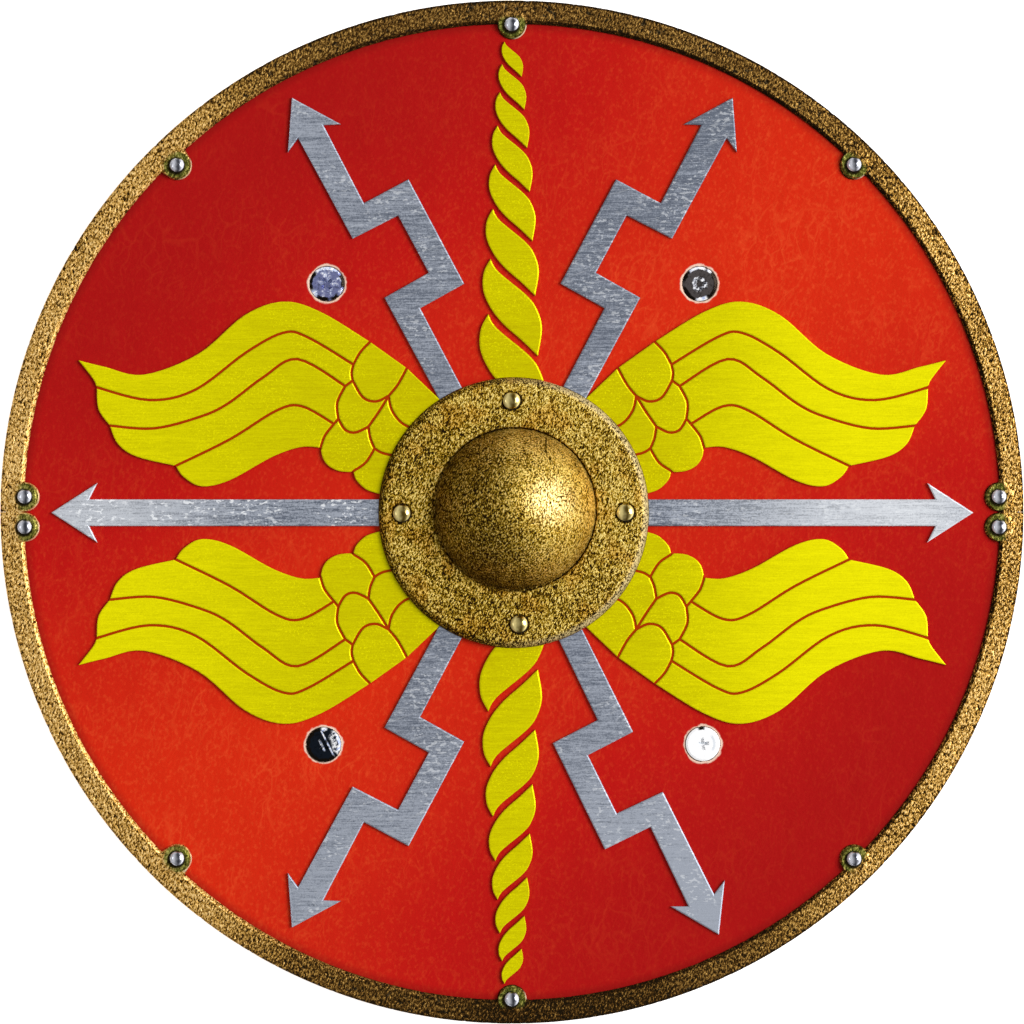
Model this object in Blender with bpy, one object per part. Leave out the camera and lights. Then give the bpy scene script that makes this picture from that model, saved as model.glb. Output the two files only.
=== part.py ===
# A round Roman shield: a plywood board faced with red leather, bound with a riveted brass
# channel, with a hollow brass boss and emblem plates of thin brushed metal.
# It lies face up on its two arm straps. +Z is the way it faces, +Y is its top, the floor is z = 0.

import math

import bmesh
import bpy
from mathutils import Matrix, Vector
from mathutils.geometry import interpolate_bezier

# Driving dimensions, in metres
SHIELD_RADIUS = 0.150
BOARD_THICKNESS = 0.008
LEATHER_THICKNESS = 0.0012
GAP = 0.0003
DISC_SIDES = 42
SHARP_EDGE = math.radians(35)

# The brass channel round the edge, and the lobes that its rivets sit in
RIM_SHEET = 0.0010
RIM_WIDTH = 0.0072
RIM_STEP = 7.0
LOBE_RADIUS = 0.0043
LOBE_STEPS = 4
RIM_RIVET_PLACE = 0.1428
LEFT_DIAGONAL_PLACE = 0.1412
END_LOBE_ANGLE = math.degrees((LOBE_RADIUS + GAP / 2) / RIM_RIVET_PLACE)
RIM_RIVETS = (
    (END_LOBE_ANGLE, RIM_RIVET_PLACE),
    (45.4, RIM_RIVET_PLACE),
    (90.0, RIM_RIVET_PLACE),
    (134.0, LEFT_DIAGONAL_PLACE),
    (180.0 - END_LOBE_ANGLE, RIM_RIVET_PLACE),
)

# The boss, and the lines of its turned section
BOSS_CENTRE = (0.0005, -0.0002)
BOSS_RADIUS = 0.0396
BOSS_SHEET = 0.0012
BOSS_SIDES = 30
FLANGE_HEIGHT = 0.0030
FLANGE_ROUNDING = 0.0022
DOME_RADIUS = 0.0236
DOME_HEIGHT = 0.0170
DOME_STEPS = 4
DOME_SHIFT = (0.0004, 0.0010)
BOSS_RIVET_PLACE = 0.0327
BOSS_RIVET_ANGLES = (0.0, 91.0, 180.5, 272.8)

# Rivets: a domed head on a shank that ends inside the board
STEEL_HEAD_RADIUS = 0.0022
BRASS_HEAD_RADIUS = 0.0026
HEAD_HEIGHT = 0.0013
HEAD_SHOULDER = (0.7, 0.75)
SHANK_RADIUS = 0.0011
SHANK_HOLE_RADIUS = 0.0015
SHANK_END_DEPTH = 0.0060
RIVET_SIDES = 8
SHANK_HOLE_SIDES = 6

# Emblem plates
PLATE_THICKNESS = 0.0008
PLATE_BEVEL = 0.0003
ENGRAVING_DEPTH = 0.0004
EMBLEM_CENTRE = (0.0001, -0.0002)
LOWER_RIGHT_BOLT_TURN = -1.9

# Screws, flange nuts and arm straps
SCREW_PLACES = ((0.0550, 0.0669), (-0.0543, 0.0669), (-0.0552, -0.0682), (0.0560, -0.0680))
SCREW_HEAD_RADIUS = 0.0050
SCREW_HEAD_LAND = 0.0004
SCREW_SHANK_RADIUS = 0.0024
SCREW_PAST_NUT = 0.0010
SCREW_SIDES = 10
RECESS_LENGTH = 0.0050
RECESS_WIDTH = 0.0010
RECESS_DEPTH = 0.0016
NUT_RADIUS = 0.0046
NUT_FLANGE_RADIUS = 0.0058
NUT_FLANGE = 0.0010
NUT_HEIGHT = 0.0042
STRAP_WIDTH = 0.024
STRAP_THICKNESS = 0.003
STRAP_DEPTH = 0.032
STRAP_END = 0.0820
STRAP_BEND = 0.0560
STRAP_FLAT = 0.0240
STRAP_BEND_STEPS = 6
STRAP_CORNER = 0.008

# Heights above the floor
STRAP_TAB_BACK = STRAP_DEPTH - STRAP_THICKNESS
BOARD_BACK = STRAP_DEPTH + GAP
BOARD_FRONT = BOARD_BACK + BOARD_THICKNESS
LEATHER_BACK = BOARD_FRONT + GAP
LEATHER_FRONT = LEATHER_BACK + LEATHER_THICKNESS
PLATE_BACK = LEATHER_FRONT + GAP
RIM_FRONT = PLATE_BACK + RIM_SHEET
RIM_BACK = BOARD_BACK - GAP - RIM_SHEET
FLANGE_TOP = PLATE_BACK + FLANGE_HEIGHT
SHIELD_TOP = FLANGE_TOP + DOME_HEIGHT
SHANK_END = BOARD_FRONT - SHANK_END_DEPTH
BOARD_RADIUS = SHIELD_RADIUS - RIM_SHEET - GAP

# The upper right lightning bolt from its tip round. Its foot runs on under the boss.
BOLT = (
    (0.0646, 0.1216), (0.0658, 0.1056), (0.0628, 0.1098), (0.0468, 0.0803), (0.0335, 0.0871),
    (0.0245, 0.0703), (0.0375, 0.0630), (0.0200, 0.0306), (0.0134, 0.0340), (0.0270, 0.0599),
    (0.0141, 0.0671), (0.0304, 0.0977), (0.0435, 0.0907), (0.0554, 0.1136), (0.0502, 0.1138),
)

# The upper edge of the right arrow, mirrored in its axis to close it
ARROW_EDGE = ((0.0350, 0.0039), (0.1240, 0.0039), (0.1216, 0.0087))
ARROW_TIP = (0.1351, 0.0)

# One leaf of the twisted spindle for a half-width of 1, measured from its tip: down its right
# edge to the foot, and back up its left edge
LEAF = (
    (-0.72, 0.0), (-0.46, -0.43), (0.48, -1.22), (0.83, -1.70), (0.99, -2.34), (0.85, -3.24),
    (0.31, -2.72), (-0.29, -2.19), (-0.72, -1.65), (-0.97, -1.05), (-0.95, -0.46),
)
LEAF_COUNT = 8
FIRST_LEAF_TIP = 0.1381
FIRST_LEAF_HALF_WIDTH = 0.0032
LEAF_WIDENING = 0.00094
FIRST_LEAF_PITCH = 0.0066
PITCH_GROWTH = 0.0016

# The lines of the upper right wing, each a curve through a few points. Its outline runs from
# the boss over the crest to the tip, and back along the ends of the feathers.
ROOT_EDGE = ((0.0200, 0.0320), (0.0309, 0.0424))
SHOULDER_EDGE = ((0.0309, 0.0424), (0.0417, 0.0501))
CREST_EDGE = (
    (0.0417, 0.0501), (0.0560, 0.0588), (0.0670, 0.0619), (0.0785, 0.0579), (0.0920, 0.0466),
    (0.1080, 0.0405), (0.1195, 0.0428), (0.1272, 0.0447),
)
FEATHER_END_1 = ((0.1272, 0.0447), (0.1229, 0.0392), (0.1218, 0.0367))
FEATHER_END_2 = ((0.1218, 0.0367), (0.1213, 0.0303), (0.1180, 0.0255))
FEATHER_END_3 = ((0.1180, 0.0255), (0.1156, 0.0201), (0.1101, 0.0164), (0.0987, 0.0137))
FEATHER_END_4 = (
    (0.0987, 0.0137), (0.0963, 0.0104), (0.0910, 0.0077), (0.0828, 0.0095), (0.0704, 0.0163),
    (0.0620, 0.0192), (0.0562, 0.0190),
)
SCALE_C_END = ((0.0562, 0.0190), (0.0536, 0.0142), (0.0466, 0.0122))
SCALE_E_END = ((0.0466, 0.0122), (0.0444, 0.0076), (0.0330, 0.0040))

# The engraved lines inside the wing: three between the feathers, the rest round the scales
FEATHER_LINE_1 = (
    (0.1218, 0.0367), (0.1064, 0.0330), (0.0930, 0.0360), (0.0780, 0.0472), (0.0670, 0.0530),
    (0.0600, 0.0519), (0.0466, 0.0434),
)
FEATHER_LINE_2 = (
    (0.1180, 0.0255), (0.1050, 0.0247), (0.0916, 0.0281), (0.0835, 0.0319), (0.0730, 0.0397),
    (0.0630, 0.0450), (0.0490, 0.0371),
)
FEATHER_LINE_3 = (
    (0.0987, 0.0137), (0.0828, 0.0215), (0.0692, 0.0299), (0.0618, 0.0312), (0.0523, 0.0260),
)
SCALE_A_1 = ((0.0417, 0.0501), (0.0446, 0.0470), (0.0466, 0.0434))
SCALE_A_2 = ((0.0466, 0.0434), (0.0471, 0.0410), (0.0468, 0.0387))
SCALE_A_3 = ((0.0468, 0.0387), (0.0438, 0.0338), (0.0400, 0.0326), (0.0363, 0.0342))
SCALE_A_4 = ((0.0363, 0.0342), (0.0336, 0.0375), (0.0309, 0.0424))
SCALE_B_1 = ((0.0468, 0.0387), (0.0490, 0.0371))
SCALE_B_2 = ((0.0490, 0.0371), (0.0513, 0.0323), (0.0510, 0.0275))
SCALE_B_3 = ((0.0510, 0.0275), (0.0490, 0.0243), (0.0460, 0.0235), (0.0422, 0.0252))
SCALE_B_4 = ((0.0422, 0.0252), (0.0390, 0.0298), (0.0363, 0.0342))
SCALE_C_1 = ((0.0510, 0.0275), (0.0523, 0.0260))
SCALE_C_2 = ((0.0523, 0.0260), (0.0550, 0.0225), (0.0562, 0.0190))
SCALE_C_3 = ((0.0466, 0.0122), (0.0430, 0.0147), (0.0404, 0.0188))
SCALE_D_1 = ((0.0363, 0.0342), (0.0352, 0.0298), (0.0317, 0.0258), (0.0250, 0.0235))
SCALE_E_1 = ((0.0422, 0.0252), (0.0416, 0.0217), (0.0404, 0.0188))
SCALE_E_2 = ((0.0404, 0.0188), (0.0375, 0.0173), (0.0300, 0.0160))

# The emblem's four quarters, by how the upper right one is mirrored in x and y
SIDE_NAMES = {(1, 1): "upper_right", (-1, 1): "upper_left", (-1, -1): "lower_left", (1, -1): "lower_right"}


def clear_scene():
    for obj in list(bpy.data.objects):
        bpy.data.objects.remove(obj, do_unlink=True)


def finish(name, colour, roughness, metallic):
    made = bpy.data.materials.new(name)
    made.use_nodes = True
    shader = made.node_tree.nodes["Principled BSDF"]
    shader.inputs["Base Color"].default_value = (*colour, 1.0)
    shader.inputs["Roughness"].default_value = roughness
    shader.inputs["Metallic"].default_value = metallic
    made.diffuse_color = (*colour, 1.0)
    return made


def add_object(name, bm, surface=None):
    """Makes a bmesh an object. One with no surface is a cutter, and isn't rendered."""
    bmesh.ops.recalc_face_normals(bm, faces=bm.faces)
    mesh = bpy.data.meshes.new(name)
    bm.to_mesh(mesh)
    bm.free()
    mesh.shade_smooth()
    mesh.set_sharp_from_angle(angle=SHARP_EDGE)
    obj = bpy.data.objects.new(name, mesh)
    bpy.context.scene.collection.objects.link(obj)
    if surface:
        mesh.materials.append(surface)
    else:
        obj.hide_render = True
        obj.display_type = "WIRE"
    return obj


def cut(obj, cutter):
    modifier = obj.modifiers.new("cut by " + cutter.name, "BOOLEAN")
    modifier.operation = "DIFFERENCE"
    modifier.solver = "EXACT"
    modifier.object = cutter


def copy_at(obj, name, place):
    """A further object that shares the first one's mesh."""
    copy = bpy.data.objects.new(name, obj.data)
    copy.location = place
    bpy.context.scene.collection.objects.link(copy)
    return copy


def turned(profile, sides, closed=False):
    """A bmesh spun round the Z axis from a profile of (radius, height) points."""
    bm = bmesh.new()
    points = [bm.verts.new((radius, 0.0, height)) for radius, height in profile]
    ends = points[1:] + points[:1] if closed else points[1:]
    edges = [bm.edges.new(pair) for pair in zip(points, ends)]
    bmesh.ops.spin(
        bm, geom=points + edges, cent=(0, 0, 0), axis=(0, 0, 1), angle=math.tau, steps=sides, use_merge=True
    )
    bmesh.ops.remove_doubles(bm, verts=bm.verts, dist=0.000001)
    return bm


def cylinders(places, radius, low, high, sides):
    """A bmesh of upright cylinders at (x, y) places."""
    bm = bmesh.new()
    for x, y in places:
        bmesh.ops.create_cone(
            bm, cap_ends=True, segments=sides, radius1=radius, radius2=radius, depth=high - low,
            matrix=Matrix.Translation((x, y, (low + high) / 2)),
        )
    return bm


def polar(radius, degrees, centre=(0.0, 0.0)):
    angle = math.radians(degrees)
    return (centre[0] + radius * math.cos(angle), centre[1] + radius * math.sin(angle))


def smooth(points, steps=2):
    """The points of a smooth curve through the given ones."""
    knots = [Vector(point) for point in points]
    line = [points[0]]
    for index in range(len(knots) - 1):
        start, end = knots[index], knots[index + 1]
        leaving = start + (end - knots[max(index - 1, 0)]) / 6
        arriving = end - (knots[min(index + 2, len(knots) - 1)] - start) / 6
        span = interpolate_bezier(start, leaving, arriving, end, steps + 1)
        line += [tuple(point) for point in span[1:-1]]
        line.append(points[index + 1])
    return line


def outline(*lines):
    """One closed outline from lines that each start where the last one ended."""
    return [point for line in lines for point in line[:-1]]


def back(line):
    return line[::-1]


def rim_rivet_places():
    upper = [polar(radius, angle) for angle, radius in RIM_RIVETS]
    return upper + [(x, -y) for x, y in upper]


def boss_rivet_places():
    return [polar(BOSS_RIVET_PLACE, angle, BOSS_CENTRE) for angle in BOSS_RIVET_ANGLES]


def make_board(surface):
    bm = cylinders([(0, 0)], BOARD_RADIUS, BOARD_BACK, BOARD_FRONT, DISC_SIDES)
    return add_object("board", bm, surface)


def make_facing(surface):
    bm = cylinders([(0, 0)], BOARD_RADIUS, LEATHER_BACK, LEATHER_FRONT, DISC_SIDES)
    return add_object("leather_facing", bm, surface)


def rim_inner_radius(degrees):
    """How far from the centre the channel's flanges end, which is nearer where a lobe is."""
    inner = SHIELD_RADIUS - RIM_WIDTH
    for rivet_angle, place in RIM_RIVETS:
        off = math.radians(degrees - rivet_angle)
        reach = LOBE_RADIUS**2 - (place * math.sin(off)) ** 2
        if reach >= 0:
            inner = min(inner, place * math.cos(off) - math.sqrt(reach))
    return inner


def rim_angles():
    """The angles of a half ring's sections: close together round a lobe, even in between."""
    angles = []
    for rivet_angle, place in RIM_RIVETS:
        half = math.degrees(math.asin(LOBE_RADIUS / place))
        first = rivet_angle - half
        if angles:
            steps = round((first - angles[-1]) / RIM_STEP)
            width = (first - angles[-1]) / steps
            angles += [angles[-1] + width * step for step in range(1, steps)]
        turns = [math.pi * step / LOBE_STEPS for step in range(LOBE_STEPS + 1)]
        angles += [rivet_angle - half * math.cos(turn) for turn in turns]
    return angles


def make_rim(name, side, surface):
    """A half ring of channel. The side is 1 for the upper half and -1 for the lower."""
    bm = bmesh.new()
    rings = []
    for degrees in rim_angles():
        inner = rim_inner_radius(degrees)
        section = (
            (SHIELD_RADIUS, RIM_BACK), (SHIELD_RADIUS, RIM_FRONT), (inner, RIM_FRONT), (inner, PLATE_BACK),
            (SHIELD_RADIUS - RIM_SHEET, PLATE_BACK), (SHIELD_RADIUS - RIM_SHEET, BOARD_BACK - GAP),
            (inner, BOARD_BACK - GAP), (inner, RIM_BACK),
        )
        ring = []
        for radius, height in section:
            x, y = polar(radius, degrees)
            ring.append(bm.verts.new((x, side * y, height)))
        rings.append(ring)
    for ring, following in zip(rings, rings[1:]):
        for index in range(len(ring)):
            after = (index + 1) % len(ring)
            bm.faces.new((ring[index], ring[after], following[after], following[index]))
    bm.faces.new(rings[0])
    bm.faces.new(rings[-1])
    return add_object(name, bm, surface)


def dome_arc(radius, height, steps):
    """(radius, height) points of a round dome, from its top to its foot."""
    ball = (radius**2 + height**2) / (2 * height)
    sweep = math.asin(radius / ball) if height < ball else math.pi - math.asin(radius / ball)
    angles = [sweep * step / steps for step in range(steps + 1)]
    return [(ball * math.sin(angle), height - ball * (1 - math.cos(angle))) for angle in angles]


def make_boss(surface):
    """The flange's edge turns down onto the leather, and the dome stands a little off its centre."""
    edge_centre = BOSS_RADIUS - FLANGE_ROUNDING
    outside = [(r, FLANGE_TOP + h) for r, h in dome_arc(DOME_RADIUS, DOME_HEIGHT, DOME_STEPS)]
    for degrees in (90, 60, 30, 0):
        r, h = polar(FLANGE_ROUNDING, degrees)
        outside.append((edge_centre + r, FLANGE_TOP - FLANGE_ROUNDING + h))
    outside.append((BOSS_RADIUS, PLATE_BACK))
    under = FLANGE_TOP - BOSS_SHEET
    inside = [(BOSS_RADIUS - BOSS_SHEET, PLATE_BACK), (BOSS_RADIUS - BOSS_SHEET, under - BOSS_SHEET / 2)]
    inside.append((BOSS_RADIUS - 2 * BOSS_SHEET, under))
    hollow = dome_arc(DOME_RADIUS - BOSS_SHEET, DOME_HEIGHT, DOME_STEPS - 1)
    inside += [(r, under + h) for r, h in reversed(hollow)]
    bm = turned(outside + inside, BOSS_SIDES)
    dome = [vert for vert in bm.verts if vert.co.xy.length < DOME_RADIUS + GAP]
    bmesh.ops.translate(bm, verts=dome, vec=(*DOME_SHIFT, 0))
    bmesh.ops.translate(bm, verts=bm.verts, vec=(*BOSS_CENTRE, 0))
    return add_object("boss", bm, surface)


def make_rivets(name, places, head_radius, seat, surface):
    """Rivets whose heads rest on the height seat. A head's shoulder is a share of its size."""
    foot = seat + GAP
    out, up = HEAD_SHOULDER
    profile = [
        (0, foot + HEAD_HEIGHT), (out * head_radius, foot + up * HEAD_HEIGHT), (head_radius, foot),
        (SHANK_RADIUS, foot), (SHANK_RADIUS, SHANK_END), (0, SHANK_END),
    ]
    first = add_object(name + "_1", turned(profile, RIVET_SIDES), surface)
    first.location = (*places[0], 0)
    for number, place in enumerate(places[1:], start=2):
        copy_at(first, f"{name}_{number}", (*place, 0))


def plate(name, cells, surface, mirror=(1, 1), turn=0.0):
    """A thin plate of one or more cells. Each rises inside a bevelled edge, so a groove parts two."""
    bm = bmesh.new()
    corners = {}
    for cell in cells:
        for point in cell:
            if point not in corners:
                corners[point] = bm.verts.new((*point, PLATE_BACK))
        bm.faces.new([corners[point] for point in cell])
    raised = bmesh.ops.extrude_face_region(bm, geom=bm.faces[:])["geom"]
    tops = [item for item in raised if isinstance(item, bmesh.types.BMFace)]
    shoulder = [item for item in raised if isinstance(item, bmesh.types.BMVert)]
    bmesh.ops.translate(bm, verts=shoulder, vec=(0, 0, PLATE_THICKNESS - ENGRAVING_DEPTH))
    inner = [edge for edge in bm.edges if all(abs(face.normal.z) > 0.5 for face in edge.link_faces)]
    below = [edge for edge in inner if edge.verts[0].co.z < PLATE_BACK + GAP]
    bmesh.ops.dissolve_edges(bm, edges=below, use_verts=True)
    bmesh.ops.recalc_face_normals(bm, faces=bm.faces)
    bmesh.ops.inset_individual(
        bm, faces=tops, thickness=PLATE_BEVEL, depth=ENGRAVING_DEPTH, use_even_offset=True
    )
    place = Matrix.Translation((*EMBLEM_CENTRE, 0)) @ Matrix.Rotation(math.radians(turn), 4, "Z")
    bmesh.ops.transform(bm, matrix=place @ Matrix.Diagonal((*mirror, 1, 1)), verts=bm.verts)
    return add_object(name, bm, surface)


def wing_cells():
    """The feathers and scales of the upper right wing, each an outline of the wing's own lines."""
    crest, end_4 = smooth(CREST_EDGE), smooth(FEATHER_END_4)
    line_1, line_2, line_3 = smooth(FEATHER_LINE_1), smooth(FEATHER_LINE_2), smooth(FEATHER_LINE_3)
    return [
        outline(crest, FEATHER_END_1, line_1, back(SCALE_A_1)),
        outline(back(line_1), FEATHER_END_2, line_2, back(SCALE_B_1), back(SCALE_A_2)),
        outline(back(line_2), FEATHER_END_3, line_3, back(SCALE_C_1), back(SCALE_B_2)),
        outline(back(line_3), end_4, back(SCALE_C_2)),
        outline(SHOULDER_EDGE, SCALE_A_1, SCALE_A_2, SCALE_A_3, SCALE_A_4),
        outline(SCALE_B_1, SCALE_B_2, SCALE_B_3, SCALE_B_4, back(SCALE_A_3)),
        outline(SCALE_C_1, SCALE_C_2, SCALE_C_END, SCALE_C_3, back(SCALE_E_1), back(SCALE_B_3)),
        outline(ROOT_EDGE, back(SCALE_A_4), SCALE_D_1, (SCALE_D_1[-1], ROOT_EDGE[0])),
        outline(back(SCALE_D_1), back(SCALE_B_4), SCALE_E_1, SCALE_E_2, (SCALE_E_2[-1], SCALE_D_1[-1])),
        outline(back(SCALE_E_2), back(SCALE_C_3), SCALE_E_END, (SCALE_E_END[-1], SCALE_E_2[-1])),
    ]


def make_emblem(silver, yellow):
    """The plates, trimmed in a circle round the boss."""
    cutter = cylinders([BOSS_CENTRE], BOSS_RADIUS + 2 * GAP, LEATHER_BACK, FLANGE_TOP, DISC_SIDES)
    boss_clearance = add_object("boss_clearance", cutter)
    trimmed = []
    wing = wing_cells()
    for mirror, side in SIDE_NAMES.items():
        turn = LOWER_RIGHT_BOLT_TURN if side == "lower_right" else 0.0
        trimmed.append(plate("wing_" + side, wing, yellow, mirror))
        trimmed.append(plate("bolt_" + side, [BOLT], silver, mirror, turn))
    arrow = [*ARROW_EDGE, ARROW_TIP, *((x, -y) for x, y in reversed(ARROW_EDGE))]
    trimmed.append(plate("arrow_right", [arrow], silver))
    trimmed.append(plate("arrow_left", [arrow], silver, (-1, 1)))
    for side, mirror in (("upper", (1, 1)), ("lower", (1, -1))):
        tip = FIRST_LEAF_TIP
        for number in range(LEAF_COUNT):
            width = FIRST_LEAF_HALF_WIDTH + LEAF_WIDENING * number
            leaf = [(width * x, tip + width * y) for x, y in LEAF]
            made = plate(f"spindle_{side}_{number + 1}", [leaf], yellow, mirror)
            tip -= FIRST_LEAF_PITCH + PITCH_GROWTH * number
            if number == LEAF_COUNT - 1:
                trimmed.append(made)
    for made in trimmed:
        cut(made, boss_clearance)


def screw_profile(grown, above, length):
    """The screw's section, or with a grown size that of the hole it sits in."""
    head, shank = SCREW_HEAD_RADIUS + grown, SCREW_SHANK_RADIUS + grown
    land = LEATHER_FRONT - SCREW_HEAD_LAND
    return [
        (0, LEATHER_FRONT + above), (head, LEATHER_FRONT + above), (head, land),
        (shank, land - (SCREW_HEAD_RADIUS - SCREW_SHANK_RADIUS)),
        (shank, LEATHER_FRONT - length), (0, LEATHER_FRONT - length),
    ]


def make_screws(surface):
    """Countersunk screws, flush with the leather, with a cross recess."""
    nut_front = STRAP_TAB_BACK - GAP
    length = LEATHER_FRONT - nut_front + NUT_HEIGHT + SCREW_PAST_NUT
    for number, (x, y) in enumerate(SCREW_PLACES, start=1):
        bm = turned(screw_profile(0.0, 0.0, length), SCREW_SIDES)
        bmesh.ops.translate(bm, verts=bm.verts, vec=(x, y, 0))
        screw = add_object(f"screw_{number}", bm, surface)
        for arm, size in (("x", (RECESS_LENGTH, RECESS_WIDTH)), ("y", (RECESS_WIDTH, RECESS_LENGTH))):
            slot = bmesh.new()
            bmesh.ops.create_cube(slot, size=1.0)
            shape = Matrix.Diagonal((*size, 2 * RECESS_DEPTH, 1))
            place = Matrix.Translation((x, y, LEATHER_FRONT))
            bmesh.ops.transform(slot, matrix=place @ shape, verts=slot.verts)
            cut(screw, add_object(f"recess_{number}_{arm}", slot))


def screw_holes():
    """One cutter for the holes of all four screws."""
    joined = bmesh.new()
    for x, y in SCREW_PLACES:
        bm = turned(screw_profile(GAP, BOARD_THICKNESS, LEATHER_FRONT), SCREW_SIDES)
        bmesh.ops.translate(bm, verts=bm.verts, vec=(x, y, 0))
        hole = bpy.data.meshes.new("hole")
        bm.to_mesh(hole)
        bm.free()
        joined.from_mesh(hole)
    return add_object("screw_holes", joined)


def make_nuts(surface):
    """Flange nuts under the strap tabs: a round flange and a hexagon, turned with twelve sides
    and every second one of the hexagon's corners drawn in to the middle of its flat."""
    front = STRAP_TAB_BACK - GAP
    bore = SCREW_SHANK_RADIUS + GAP
    profile = [
        (bore, front), (NUT_FLANGE_RADIUS, front), (NUT_FLANGE_RADIUS, front - NUT_FLANGE),
        (NUT_RADIUS, front - NUT_FLANGE), (NUT_RADIUS, front - NUT_HEIGHT), (bore, front - NUT_HEIGHT),
    ]
    bm = turned(profile, 12, closed=True)
    for vert in bm.verts:
        step = round(math.degrees(math.atan2(vert.co.y, vert.co.x)) / 30)
        if step % 2 and abs(vert.co.xy.length - NUT_RADIUS) < GAP:
            vert.co.xy *= math.cos(math.radians(30))
    first = add_object("nut_1", bm, surface)
    first.location = (*SCREW_PLACES[0], 0)
    for number, place in enumerate(SCREW_PLACES[1:], start=2):
        copy_at(first, f"nut_{number}", (*place, 0))


def strap_middle():
    """(y, height) points along the middle of a strap, from its lower tab to its upper one."""
    tab = STRAP_DEPTH - STRAP_THICKNESS / 2
    drop = STRAP_DEPTH - STRAP_THICKNESS
    half = []
    for step in range(STRAP_BEND_STEPS + 1):
        share = step / STRAP_BEND_STEPS
        y = STRAP_FLAT + (STRAP_BEND - STRAP_FLAT) * share
        half.append((y, tab - drop * (1 + math.cos(math.pi * share)) / 2))
    half.append((STRAP_END, tab))
    return [(-y, height) for y, height in reversed(half)] + half


def make_strap(name, x, surface, holes):
    """A flat leather strap, bent away from the board between its two tabs."""
    middle = [Vector(point) for point in strap_middle()]
    faces = []
    for index, point in enumerate(middle):
        along = middle[min(index + 1, len(middle) - 1)] - middle[max(index - 1, 0)]
        faces.append((point, Vector((-along.y, along.x)).normalized() * STRAP_THICKNESS / 2))
    edge = [point + offset for point, offset in faces]
    edge += [point - offset for point, offset in reversed(faces)]
    bm = bmesh.new()
    side = bm.faces.new([bm.verts.new((x - STRAP_WIDTH / 2, *point)) for point in edge])
    grown = bmesh.ops.extrude_face_region(bm, geom=[side])["geom"]
    moved = [item for item in grown if isinstance(item, bmesh.types.BMVert)]
    bmesh.ops.translate(bm, verts=moved, vec=(STRAP_WIDTH, 0, 0))
    ends = [edge for edge in bm.edges if all(abs(vert.co.y) > STRAP_END - GAP for vert in edge.verts)]
    upright = [edge for edge in ends if abs(edge.verts[0].co.x - edge.verts[1].co.x) < GAP]
    bmesh.ops.bevel(bm, geom=upright, offset=STRAP_CORNER, segments=3, profile=0.5, affect="EDGES")
    strap = add_object(name, bm, surface)
    cut(strap, holes)


def main():
    clear_scene()
    wood = finish("birch plywood", (0.45, 0.30, 0.16), 0.6, 0.0)
    red_leather = finish("red leather", (0.58, 0.017, 0.009), 0.45, 0.0)
    brass = finish("aged brass", (0.30, 0.17, 0.035), 0.45, 1.0)
    steel = finish("steel", (0.40, 0.42, 0.44), 0.25, 1.0)
    silver = finish("brushed silver", (0.30, 0.34, 0.41), 0.35, 1.0)
    yellow = finish("brushed yellow", (0.62, 0.55, 0.01), 0.4, 0.3)
    brown_leather = finish("brown leather", (0.13, 0.055, 0.02), 0.6, 0.0)

    shanks = rim_rivet_places() + boss_rivet_places()
    rivet_holes = add_object(
        "rivet_holes", cylinders(shanks, SHANK_HOLE_RADIUS, SHANK_END - GAP, SHIELD_TOP, SHANK_HOLE_SIDES)
    )
    holes = screw_holes()
    board = make_board(wood)
    facing = make_facing(red_leather)
    for disc in (board, facing):
        cut(disc, rivet_holes)
        cut(disc, holes)
    cut(make_rim("rim_upper", 1, brass), rivet_holes)
    cut(make_rim("rim_lower", -1, brass), rivet_holes)
    cut(make_boss(brass), rivet_holes)
    make_rivets("rim_rivet", rim_rivet_places(), STEEL_HEAD_RADIUS, RIM_FRONT, steel)
    make_rivets("boss_rivet", boss_rivet_places(), BRASS_HEAD_RADIUS, FLANGE_TOP, brass)
    make_emblem(silver, yellow)
    make_screws(steel)
    make_nuts(steel)
    strap_x = sum(abs(x) for x, y in SCREW_PLACES) / len(SCREW_PLACES)
    make_strap("strap_left", -strap_x, brown_leather, holes)
    make_strap("strap_right", strap_x, brown_leather, holes)


main()
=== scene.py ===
# %% [markdown]
# # A round Roman shield
# The shield lies face up on its two arm straps. A plywood board carries a red leather facing, a brass
# channel round its edge, a pressed brass boss and an emblem of thin metal plates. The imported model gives
# every piece its place and size. This lesson gives each piece its surface, one step at a time.

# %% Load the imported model
import math

import bmesh
import bpy
import numpy as np
from mathutils import Matrix, Vector, noise
from mathutils.geometry import delaunay_2d_cdt, interpolate_bezier


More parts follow.
